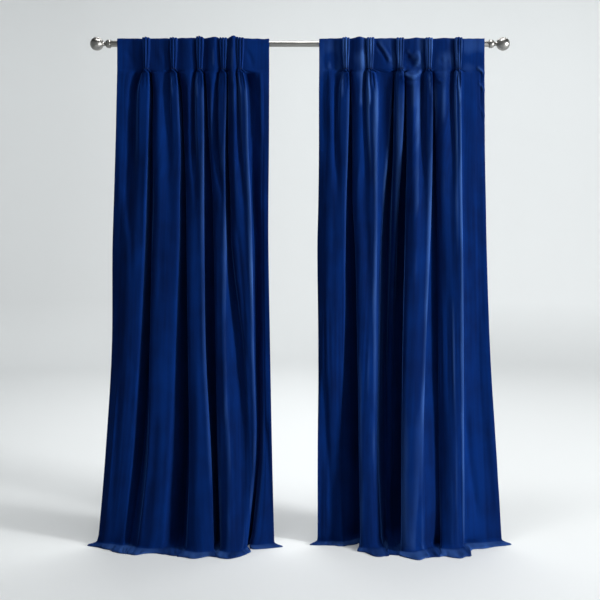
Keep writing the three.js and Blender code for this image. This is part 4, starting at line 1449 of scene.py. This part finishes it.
@dataclass(frozen=True)
class Finials:
    """A ball on a short neck, which grows out of a collar that is rounded towards the ball."""

    ball: float = 28.0
    neck: float = 8.5
    collar: float = 17.5
    collar_length: float = 22.0
    ball_centre: float = 57.5
    face: float = 784.0
    sides: int = 72
    ball_steps: int = 26

    def _profile(self) -> list[Point]:
        """Return (radius, distance from the collar's face) from the groove in that face outwards."""
        collar, length, neck = self.collar, self.collar_length, self.neck
        points = [
            (13.4, 1.4), (14.9, 1.4), (15.1, 0.3), (15.6, 0.0),
            (collar - 1.1, 0.0), (collar - 0.4, 0.3), (collar, 1.1), (collar, length * 0.42),
            (collar - 0.4, length * 0.55), (collar - 1.6, length * 0.7), (collar - 3.6, length * 0.83),
            (collar - 6.2, length * 0.93), (neck + 1.0, length * 0.985), (neck + 0.2, length + 0.8),
            (neck, length + 2.0),
        ]
        start = math.asin((neck + 0.9) / self.ball)
        points.append((neck + 0.1, self.ball_centre - self.ball * math.cos(start) - 1.2))
        for angle in np.linspace(start, math.pi * 0.985, self.ball_steps):
            points.append((self.ball * math.sin(angle), self.ball_centre - self.ball * math.cos(angle)))
        return points

    def _model(self) -> bpy.types.Object:
        """Draw the right finial out of a disc, one step of its profile after another."""
        (radius, along), *steps = self._profile()
        bpy.ops.object.select_all(action="DESELECT")
        bpy.ops.mesh.primitive_circle_add(
            vertices=self.sides,
            radius=radius * MM,
            fill_type="NGON",
            location=((self.face + along) * MM, 0.0, 0.0),
            rotation=(0.0, math.radians(90.0), 0.0),
        )
        piece = bpy.context.object
        bpy.ops.object.transform_apply(location=True, rotation=True, scale=True)
        bpy.ops.object.mode_set(mode="EDIT")
        bpy.ops.mesh.select_all(action="SELECT")
        for next_radius, next_along in steps:
            bpy.ops.mesh.extrude_region_move()
            bpy.ops.transform.translate(value=((next_along - along) * MM, 0.0, 0.0))
            grown = next_radius / radius
            bpy.ops.transform.resize(
                value=(1.0, grown, grown), center_override=((self.face + next_along) * MM, 0.0, 0.0)
            )
            radius, along = next_radius, next_along
        bpy.ops.mesh.select_all(action="SELECT")
        bpy.ops.mesh.normals_make_consistent(inside=False)
        bpy.ops.object.mode_set(mode="OBJECT")
        bpy.ops.object.shade_smooth_by_angle(angle=math.radians(42.0))
        return piece

    def build(self) -> list[bpy.types.Object]:
        """Turn one finial, and copy it to the rod's other end."""
        model = self._model()
        finish = BrushedNickel("finial nickel", brush=(120.0, 420.0, 420.0)).material()
        made = []
        for side, turn in (("left", 180.0), ("right", 0.0)):
            mesh = model.data.copy()
            mesh.transform(Matrix.Rotation(math.radians(turn), 4, "Z"))
            mesh.materials.append(finish)
            piece = added(f"finial_ball_{side}", mesh)
            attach(piece, "root")
            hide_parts(f"finial_{side}")
            made.append(piece)
        bpy.data.objects.remove(model)
        return made


# ---------------------------------------------------------------------------------------------------
# The two curtains
# ---------------------------------------------------------------------------------------------------


def left_creases() -> tuple[Crease, ...]:
    """Return the troughs and ridges of the left curtain."""
    return (
        # Pulls in the stiff heading.
        Crease(((-726, -20), (-700, -60), (-690, -100)), 12, -2.5, 30),
        Crease(((-590, -20), (-575, -55), (-560, -100)), 14, 2.5, 30),
        Crease(((-230, -18), (-205, -60), (-196, -104)), 9, -3, 30),
        # Long lines down the hung cloth.
        Crease(((-690, -150), (-680, -600), (-676, -1050)), 15, 4, 160),
        Crease(((-162, -100), (-160, -260), (-156, -430)), 8, 5, 60),
        Crease(((-560, -520), (-566, -820), (-572, -1120)), 12, -3, 130),
        Crease(((-262, -700), (-236, -1000), (-222, -1240)), 9, -4, 120),
        Crease(((-142, -300), (-148, -900), (-139, -1500)), 9, 1.5, 200),
        Crease(((-418, -1250), (-416, -1600), (-425, -1960)), 14, 4, 160),
        Crease(((-742, -1380), (-762, -1700), (-790, -1980)), 14, -5, 160),
        Crease(((-590, -1500), (-612, -1800), (-640, -2010)), 20, -4, 150),
        Crease(((-150, -1500), (-128, -1760), (-118, -2000)), 10, -4, 120),
        # Small ridges with a highlight painted along each.
        Crease(((-358, -16), (-358, -60), (-357, -104)), 5.5, 1, 20, painted_highlight=0.3),
        Crease(((-279, -16), (-280, -70), (-278, -180)), 5.5, 1, 24, painted_highlight=0.5),
        Crease(((-529, -112), (-528, -170), (-526, -236)), 4, 2, 40, painted_highlight=0.35),
        Crease(((-427, -112), (-425, -170), (-423, -236)), 4.5, 2, 26, painted_highlight=0.5),
        Crease(((-260, -112), (-258, -170), (-252, -236)), 4.5, 2, 26, painted_highlight=0.55),
        Crease(((-247, -112), (-246, -170), (-243, -230)), 7, 1, 40, painted_highlight=0.4),
        Crease(((-302, -1120), (-300, -1270), (-295, -1420)), 9, 2, 100, painted_highlight=0.4),
        Crease(((-184, -1560), (-188, -1720), (-206, -1960)), 6, 2, 120, painted_highlight=0.45),
    )


def left_folds() -> tuple[Fold, ...]:
    """Return the left curtain's folds, from left to right."""
    return (
        Fold(
            mark=2,
            foot=1,
            lens=40,
            painted_highlight=(0.12, 0.05),
            fall=(-0.1, -0.1, -0.1, 0.1, 0.25, 0.4, 0.45, 0.5, 0.5),
            shoulder=(
                (-738, 16), (-740, 16), (-745, 19), (-742, 24), (-738, 28),
                (-742, 38), (-770, 40), (-806, 18), (-810, 16),
            ),
            crest=(
                (-706, 17), (-712, 17), (-718, 18), (-726, 24), (-706, 46),
                (-718, 50), (-742, 44), (-775, 24), (-778, 22),
            ),
            valley=(
                (-656, 6), (-682, -12), (-690, -12), (-704, 22), (-688, 46),
                (-694, 54), (-715, 47), (-750, 31), (-750, 32),
            ),
            ridge=(
                (-624, 38), (-622, 40), (-627, 50), (-633, 56), (-640, 56),
                (-660, 54), (-686, 48), (-722, 38), (-722, 40),
            ),
            recess=(
                (-617, 0.6), (-611, 0.6), (-614, 0.9), (-620, 0.95), (-622, 0.95),
                (-626, 0.85), (-650, 0.6), (-692, 0.2), (-698, 0.12),
            ),
        ),
        Fold(
            mark=4,
            foot=3,
            lens=29,
            painted_highlight=(0.3, 0.1),
            fall=(-0.1, -0.1, -0.1, 0.05, 0.15, 0.35, 0.5, 0.5, 0.5),
            shoulder=(
                (-606, 17), (-600, 18), (-600, 30), (-597, 40), (-605, 46),
                (-614, 57), (-621, 70), (-658, 66), (-664, 66),
            ),
            crest=(
                (-574, 20), (-582, 25), (-579, 42), (-573, 54), (-576, 58),
                (-588, 66), (-600, 72), (-634, 74), (-640, 76),
            ),
            valley=(
                (-538, 16), (-537, 10), (-542, 36), (-539, 48), (-539, 57),
                (-552, 66), (-571, 76), (-598, 82), (-604, 86),
            ),
            ridge=(
                (-511, 38), (-503, 42), (-493, 52), (-496, 56), (-498, 58),
                (-512, 62), (-531, 72), (-554, 78), (-558, 80),
            ),
            recess=(
                (-504, 0.6), (-491, 0.6), (-480, 1), (-468, 1), (-463, 1),
                (-460, 1), (-464, 0.95), (-478, 0.6), (-482, 0.3),
            ),
        ),
        Fold(
            mark=6,
            foot=5,
            lens=29,
            painted_highlight=(0.6, 0.35),
            fall=(-0.1, -0.2, -0.3, -0.4, -0.4, -0.4, -0.4, -0.4, -0.4),
            shoulder=(
                (-494, 22), (-481, 18), (-470, 22), (-464, 36), (-462, 56),
                (-455, 74), (-449, 78), (-456, 96), (-459, 104),
            ),
            crest=(
                (-450, 30), (-457, 33), (-452, 32), (-438, 52), (-438, 66),
                (-430, 84), (-414, 98), (-409, 120), (-412, 130),
            ),
            valley=(
                (-430, 13), (-436, 8), (-434, 16), (-426, 54), (-417, 68),
                (-408, 85), (-390, 101), (-380, 120), (-386, 128),
            ),
            ridge=(
                (-403, 40), (-398, 44), (-395, 54), (-393, 66), (-391, 74),
                (-384, 88), (-361, 100), (-350, 112), (-349, 118),
            ),
            recess=(
                (-396, 0.6), (-389, 0.6), (-378, 1), (-352, 1), (-350, 1),
                (-350, 1), (-344, 1), (-336, 1), (-334, 0.8),
            ),
        ),
        Fold(
            mark=8,
            foot=7,
            lens=29,
            painted_highlight=(0.7, 0.45),
            fall=(-0.1, -0.1, -0.2, -0.2, 0.1, 0.4, 0.5, 0.5, 0.5),
            shoulder=(
                (-386, 22), (-378, 20), (-366, 24), (-354, 44), (-350, 60),
                (-341, 72), (-333, 80), (-321, 100), (-320, 108),
            ),
            crest=(
                (-352, 31), (-363, 32), (-362, 28), (-334, 56), (-328, 69),
                (-322, 80), (-304, 98), (-296, 118), (-296, 126),
            ),
            valley=(
                (-333, 13), (-339, 8), (-333, 20), (-318, 60), (-312, 73),
                (-313, 84), (-293, 102), (-280, 121), (-281, 128),
            ),
            ridge=(
                (-306, 38), (-305, 42), (-309, 52), (-306, 64), (-302, 74),
                (-302, 82), (-280, 101), (-266, 116), (-267, 122),
            ),
            recess=(
                (-299, 0.6), (-296, 0.55), (-298, 0.9), (-288, 0.9), (-284, 0.7),
                (-246, 0.3), (-240, 0.14), (-237, 0.09), (-238, 0.08),
            ),
        ),
        Fold(
            mark=10,
            foot=9,
            lens=27,
            painted_highlight=(0.65, 1.3),
            fall=(-0.1, -0.2, -0.3, -0.4, -0.5, -0.5, -0.5, -0.5, -0.5),
            shoulder=(
                (-291, 30), (-288, 28), (-288, 36), (-281, 44), (-276, 54),
                (-226, 76), (-212, 88), (-222, 96), (-227, 92),
            ),
            crest=(
                (-273, 46), (-270, 48), (-267, 51), (-262, 60), (-254, 68),
                (-213, 81), (-201, 90), (-219, 92), (-224, 88),
            ),
            valley=(
                (-263, 14), (-257, 8), (-253, 38), (-231, 55), (-222, 70),
                (-202, 83), (-193, 91), (-216, 86), (-221, 80),
            ),
            ridge=(
                (-237, 40), (-220, 44), (-213, 55), (-202, 68), (-196, 78),
                (-189, 84), (-182, 90), (-213, 78), (-218, 68),
            ),
            recess=(
                (-228, 0.35), (-206, 0.42), (-199, 0.62), (-190, 0.8), (-185, 0.85),
                (-176, 0.9), (-173, 0.9), (-199, 0.9), (-206, 0.9),
            ),
        ),
    )


def left_curtain() -> Curtain:
    """Return the left curtain, whose folds all lean to the right."""
    return Curtain(
        side="left",
        pleats=(-634, -521, -413, -316, -247),
        heading=(-755, -127),
        swells=(7, 15, 18, 31),
        tops=((-634, 1.5), (-495, 2), (-413, 6), (-352, 3), (-270, 6)),
        left_edge=(
            (-755, 15), (-757, 15), (-762, 15), (-768, 15), (-774, 15),
            (-778, 12), (-804, 8), (-834, 2), (-841, 0),
        ),
        knee=(
            (-180, 16), (-158, 21), (-164, 19), (-168, 15), (-160, 14),
            (-159, 14), (-155, 18), (-190, 32), (-200, 38),
        ),
        right_edge=(
            (-127, 15), (-127, 20), (-128, 23), (-130, 24), (-130, 24),
            (-123, 22), (-115, 20), (-107, 17), (-106, 17),
        ),
        rise=(0.5, 0.4, 0.62, 0.7, 0.72, 0.74, 0.74, 0.74, 0.6),
        hem=(
            (-905, 40), (-871, 44), (-760, 96), (-652, 141), (-615, 112), (-550, 124), (-470, 160),
            (-404, 188), (-371, 150), (-288, 185), (-238, 148), (-222, 66), (-160, 56), (-97, 44),
        ),
        seed=11,
        heading_highlight=0.02,
        creases=left_creases(),
        folds=left_folds(),
    )


def right_creases() -> tuple[Crease, ...]:
    """Return the troughs and ridges of the right curtain."""
    return (
        # Pulls and puckers in the stiff heading, and just below its tacks.
        Crease(((309, 8), (338, -36), (362, -84)), 6, -5, 20),
        Crease(((322, 6), (352, -36), (376, -84)), 8, 5, 20),
        Crease(((430, -40), (452, -72), (478, -100)), 20, -13, 24),
        Crease(((436, -26), (466, -50), (494, -34)), 7, 4, 16),
        # A highlight is painted along this arc of the dent.
        Crease(
            ((420, -92), (432, -124), (456, -142), (484, -134), (500, -108)), 6.5, 11, 16, painted_highlight=0.8
        ),
        Crease(((412, -124), (432, -156), (462, -176), (496, -158)), 8, 4.5, 20),
        Crease(((575, -60), (596, -84), (618, -70)), 9, -2.5, 14),
        Crease(((562, -148), (587, -164), (612, -152)), 6, 3.5, 12),
        # Turned edge of the side hem, which curls in three places, with a highlight painted along each
        # curl.
        Crease(((728, -102), (746, -112), (760, -132)), 5.5, 7, 10, painted_highlight=0.7),
        Crease(((736, -160), (750, -180), (761, -204)), 5.5, 6, 10, painted_highlight=0.7),
        Crease(((740, -256), (752, -284), (760, -312)), 5.5, 5, 12, painted_highlight=0.6),
        Crease(((748, -112), (745, -215), (750, -320)), 5, -3.5, 30),
        # Long lines down the hung cloth.
        Crease(((121, -40), (123, -220), (127, -420)), 10, 4, 70),
        Crease(((138, -620), (134, -900), (128, -1180)), 13, -3, 150),
        Crease(((466, -420), (470, -760), (462, -1080)), 13, 3.5, 160),
        Crease(((600, -900), (606, -1250), (612, -1600)), 15, -4, 200),
        Crease(((738, -480), (742, -860), (752, -1260)), 13, -3, 180),
        Crease(((92, -1300), (112, -1680), (148, -2020)), 17, -9, 150),
        Crease(((676, -1440), (702, -1740), (742, -2010)), 15, -8, 150),
        Crease(((776, -1500), (800, -1760), (822, -1980)), 14, 4, 120),
        # Small ridges with a highlight painted along each.
        Crease(((488, -30), (492, -70), (480, -100)), 7, 2, 20, painted_highlight=0.7),
        Crease(((256, -20), (256, -90), (253, -180), (250, -270)), 7, 1, 30, painted_highlight=0.5),
        Crease(((596, -20), (597, -110), (592, -220), (590, -380)), 9, 1, 80, painted_highlight=0.3),
        Crease(((176, -112), (175, -170), (174, -240)), 4, 2, 40, painted_highlight=0.7),
        Crease(((281, -116), (284, -190), (286, -268)), 4.5, 5, 40, painted_highlight=0.75),
        Crease(((532, -112), (533, -165), (535, -230)), 4, 2, 40, painted_highlight=1.0),
        Crease(((647, -112), (653, -175), (656, -260)), 4, 2, 40, painted_highlight=0.9),
        Crease(((462, -100), (472, -190), (482, -290)), 24, 0.5, 40, painted_highlight=0.4),
        Crease(((492, -128), (487, -250), (483, -420), (478, -740)), 9, 5, 110, painted_highlight=0.75),
        Crease(((490, -240), (486, -330), (484, -480)), 13, 0.5, 80, painted_highlight=0.65),
        Crease(((312, -380), (311, -640), (310, -760)), 6, 2, 110, painted_highlight=0.45),
        Crease(((527, -960), (511, -1270), (504, -1430), (498, -1600)), 8, 2, 120, painted_highlight=0.55),
        Crease(((303, -1500), (302, -1690), (306, -1920)), 8, 2, 130, painted_highlight=0.4),
    )


def right_folds() -> tuple[Fold, ...]:
    """Return the right curtain's folds, from left to right."""
    return (
        Fold(
            mark=2,
            foot=1,
            lens=36,
            painted_highlight=(0.35, 0.1),
            fall=(-0.1, -0.2, -0.3, -0.2, 0.0, 0.35, 0.5, 0.5, 0.5),
            shoulder=(
                (96, 15), (96, 15), (101, 22), (103, 36), (105, 40),
                (88, 30), (89, 6), (84, -6), (86, -12),
            ),
            crest=(
                (133, 16), (133, 26), (130, 34), (129, 45), (129, 48),
                (121, 40), (121, 14), (106, -2), (108, -8),
            ),
            valley=(
                (171, 16), (158, 8), (150, 22), (154, 46), (154, 49),
                (148, 40), (145, 10), (146, -12), (148, -10),
            ),
            ridge=(
                (199, 40), (201, 42), (195, 48), (188, 52), (185, 50),
                (178, 34), (168, 8), (176, -6), (182, 0),
            ),
            recess=(
                (206, 0.6), (212, 0.55), (220, 0.9), (229, 1), (240, 1),
                (250, 1), (255, 1), (254, 0.85), (248, 0.4),
            ),
        ),
        Fold(
            mark=5,
            foot=3,
            slack=22,
            lens=37,
            painted_highlight=(1.0, 0.5),
            fall=(0, 0, 0.1, 0.2, 0.25, 0.3, 0.3, 0.3, 0.3),
            shoulder=(
                (217, 22), (222, 20), (224, 26), (221, 30), (229, 40),
                (238, 54), (243, 64), (249, 68), (250, 70),
            ),
            crest=(
                (253, 27), (252, 28), (246, 38), (238, 44), (248, 51),
                (268, 62), (275, 70), (283, 75), (286, 78),
            ),
            valley=(
                (272, 16), (271, 10), (275, 30), (266, 41), (276, 48),
                (288, 61), (291, 68), (296, 74), (298, 76),
            ),
            ridge=(
                (300, 40), (315, 44), (312, 52), (311, 56), (310, 59),
                (304, 59), (302, 61), (308, 68), (311, 73),
            ),
            beyond=(
                (
                    (314, 17), (328, 12), (326, 10), (323, 20), (319, 32),
                    (315, 44), (312, 48), (318, 58), (322, 64),
                ),
                (
                    (386, 18), (380, 12), (367, 6), (347, -2), (334, 0),
                    (326, 8), (322, 16), (332, 42), (337, 58),
                ),
            ),
            recess=(
                (398, 0.3), (397, 0.4), (391, 0.65), (378, 1), (368, 1),
                (360, 1), (354, 1), (352, 1), (356, 0.6),
            ),
        ),
        Fold(
            mark=6,
            foot=0,
            slack=30,
            lens=28,
            painted_highlight=(0.4, 0.0),
            fall=(-0.1, -0.2, -0.2, -0.1, 0.1, 0.3, 0.3, 0.3, 0.3),
            shoulder=(
                (398, 12), (397, 13), (393, 10), (386, -8), (380, -30),
                (368, -44), (364, -52), (362, -40), (366, 40),
            ),
            crest=(
                (400, 13), (400, 20), (397, 18), (392, 0), (387, -26),
                (374, -40), (370, -48), (368, -36), (374, 44),
            ),
            valley=(
                (399, 16), (399, 28), (398, 28), (397, 16), (393, -14),
                (380, -38), (376, -46), (374, -34), (382, 48),
            ),
            ridge=(
                (423, 40), (427, 44), (419, 38), (409, 10), (402, -22),
                (388, -38), (384, -46), (382, -34), (392, 50),
            ),
            recess=(
                (430, 0.6), (444, 0.5), (457, 0.9), (459, 0.9), (456, 0.7),
                (447, 0.6), (439, 0.5), (426, 0.38), (412, 0.3),
            ),
        ),
        Fold(
            mark=8,
            foot=7,
            lens=24,
            painted_highlight=(0.9, 1.0),
            fall=(-0.1, -0.2, -0.3, -0.3, -0.3, -0.1, 0.15, 0.3, 0.4),
            shoulder=(
                (441, 19), (446, 22), (446, 38), (438, 52), (432, 62),
                (421, 84), (414, 102), (413, 112), (412, 118),
            ),
            crest=(
                (470, 26), (467, 46), (461, 60), (462, 68), (466, 74),
                (456, 92), (446, 109), (434, 121), (434, 127),
            ),
            valley=(
                (513, 16), (508, 6), (505, 30), (505, 54), (503, 68),
                (485, 89), (482, 104), (458, 120), (458, 124),
            ),
            ridge=(
                (541, 40), (544, 42), (541, 54), (537, 62), (530, 68),
                (511, 80), (499, 92), (500, 98), (502, 102),
            ),
            recess=(
                (548, 0.6), (556, 0.5), (566, 0.9), (572, 1), (578, 1),
                (585, 1), (587, 0.95), (580, 0.8), (574, 0.5),
            ),
        ),
        Fold(
            mark=10,
            foot=9,
            lens=21,
            painted_highlight=(0.9, 0.7),
            fall=(-0.1, -0.1, -0.1, -0.1, -0.1, -0.1, 0, 0, 0),
            shoulder=(
                (559, 20), (562, 20), (568, 28), (568, 28), (570, 28),
                (570, 34), (571, 48), (574, 68), (575, 80),
            ),
            crest=(
                (604, 25), (598, 32), (589, 40), (589, 40), (594, 42),
                (598, 52), (606, 68), (614, 82), (616, 88),
            ),
            valley=(
                (635, 16), (635, 10), (630, 30), (620, 39), (622, 47),
                (630, 60), (636, 72), (642, 78), (644, 81),
            ),
            ridge=(
                (663, 40), (660, 42), (661, 48), (663, 52), (665, 57),
                (668, 62), (668, 66), (669, 67), (668, 68),
            ),
            recess=(
                (669, 0.12), (670, 0.14), (671, 0.24), (674, 0.28), (677, 0.32),
                (680, 0.36), (680, 0.42), (682, 0.42), (683, 0.4),
            ),
        ),
    )


def right_curtain() -> Curtain:
    """Return the right curtain, whose folds overlap like shingles as they near the floor."""
    return Curtain(
        side="right",
        pleats=(189, 290, 413, 531, 653),
        heading=(79, 762),
        swells=(16, 9, 8, 10),
        tops=((245, 5), (189, 2), (300, 2), (480, 2), (660, 2)),
        left_edge=(
            (79, 15), (78, 15), (78, 15), (76, 15), (72, 15),
            (76, 15), (73, 8), (73, -5), (72, -13),
        ),
        knee=(
            (700, 16), (716, 24), (716, 26), (716, 26), (720, 24),
            (730, 21), (740, 17), (745, 11), (750, 8),
        ),
        right_edge=(
            (762, 15), (762, 15), (763, 17), (766, 20), (770, 22),
            (784, 24), (811, 14), (836, -10), (840, -18),
        ),
        rise=(0.5, 0.4, 0.65, 0.75, 0.8, 0.8, 0.7, 0.7, 0.6),
        hem=(
            (30, 50), (63, 54), (160, 70), (258, 84), (291, 150), (402, 136), (448, 196), (520, 172),
            (587, 150), (626, 174), (740, 112), (872, 40), (900, 30),
        ),
        seed=23,
        heading_highlight=0.3,
        creases=right_creases(),
        folds=right_folds(),
    )


# ---------------------------------------------------------------------------------------------------
# The studio
# ---------------------------------------------------------------------------------------------------


@dataclass(frozen=True)
class SoftBox:
    """A plain rectangular studio light."""

    name: str
    place: Triple
    aim: Triple
    size: Point
    power: float
    colour: Triple = (1.0, 1.0, 1.0)

    def build(self) -> bpy.types.Object:
        """Hang the light and aim it."""
        data = bpy.data.lights.new(self.name, "AREA")
        data.shape = "RECTANGLE"
        data.size, data.size_y = self.size
        data.energy = self.power
        data.color = self.colour
        lamp = added(self.name, data)
        lamp.location = self.place
        towards = Vector(self.aim) - Vector(self.place)
        lamp.rotation_euler = towards.to_track_quat("-Z", "Y").to_euler()
        return lamp


@dataclass(frozen=True)
class Studio:
    """The floor with its far sweep, the lights and the camera, in metres."""

    eye: Triple = (0.0, -4.0, -0.793)
    lens: float = 57.9
    view_down: float = 0.108
    sweep_radius: float = 9.0
    sweep_rise: float = 3.4
    floor_gap: float = 0.0002
    floor_sides: int = 96
    ambient: float = 0.06

    def build_camera(self) -> bpy.types.Object:
        """Stand the camera before the curtains, level, with its view moved down."""
        data = bpy.data.cameras.new("camera")
        data.lens = self.lens
        data.sensor_width = 36.0
        data.shift_y = -self.view_down
        camera = added("camera", data)
        camera.location = self.eye
        camera.rotation_euler = (math.radians(90.0), 0.0, 0.0)
        bpy.context.scene.camera = camera
        return camera

    def _floor_profile(self) -> list[Point]:
        """Return (radius, height above the floor) from the middle out to the top of the sweep."""
        inner = self.sweep_radius - self.sweep_rise
        profile = [(2.0, 0.0), (4.0, 0.0)]
        for angle in np.radians(np.linspace(0.0, 90.0, 13)):
            rise = self.sweep_rise * (1 - math.cos(angle))
            profile.append((inner + self.sweep_rise * math.sin(angle), rise))
        profile.append((self.sweep_radius, self.sweep_rise + 3.0))
        return profile

    def build_floor(self) -> bpy.types.Object:
        """Turn a round floor whose far rim sweeps up."""
        sides = self.floor_sides
        floor = FLOOR_Z * MM - self.floor_gap
        points, faces = [], [tuple(range(sides))]
        for ring, (radius, height) in enumerate(self._floor_profile()):
            for n in range(sides):
                turn = 2 * math.pi * n / sides
                points.append((radius * math.cos(turn), radius * math.sin(turn), floor + height))
            if ring:
                faces += ring_quads(ring * sides, (ring - 1) * sides, sides)
        mesh = bpy.data.meshes.new("studio_floor")
        mesh.from_pydata(points, [], faces)
        mesh.shade_smooth()
        mesh.materials.append(StudioPaint().material())
        piece = added("studio_floor", mesh)
        return piece

    def build_lights(self) -> list[bpy.types.Object]:
        """Light the curtains from the right, with a weak fill and an even sky."""
        world = bpy.data.worlds.new("studio air")
        world.use_nodes = True
        sky = world.node_tree.nodes["Background"]
        sky.inputs["Color"].default_value = (0.93, 0.97, 1.0, 1.0)
        sky.inputs["Strength"].default_value = self.ambient
        bpy.context.scene.world = world
        boxes = (
            SoftBox("key", (5.7, -3.1, -0.5), (0.0, 0.0, -1.0), (1.0, 1.6), 730.0),
            SoftBox("overhead", (0.3, -0.8, 2.6), (0.1, -0.2, -2.0), (2.4, 0.6), 116.0),
            SoftBox("backdrop", (0.8, 2.4, 3.2), (0.9, 5.8, -1.5), (5.0, 2.0), 306.0),
        )
        return [box.build() for box in boxes]

    def build(self) -> None:
        """Set up everything that is not part of the object."""
        self.build_camera()
        self.build_floor()
        self.build_lights()
        bpy.context.scene.view_settings.view_transform = "Standard"


def main() -> None:
    """Build the curtains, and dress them."""
    logging.basicConfig(level=logging.INFO, format="%(name)s: %(message)s")
    Studio().build()
    curtains = (left_curtain(), right_curtain())
    made = [RodTube().build(), *Finials().build(), *Tabs().build(curtains)]
    for curtain in curtains:
        sheet = curtain.build()
        curtain.dress(sheet, Velvet(f"velvet {curtain.side}"))
        made += [sheet, TackStitches(curtain.side).build(curtain)]
    for piece in made:
        LOG.info("%s: %d faces", piece.name, len(piece.data.polygons))


if __name__ == "__main__":
    main()
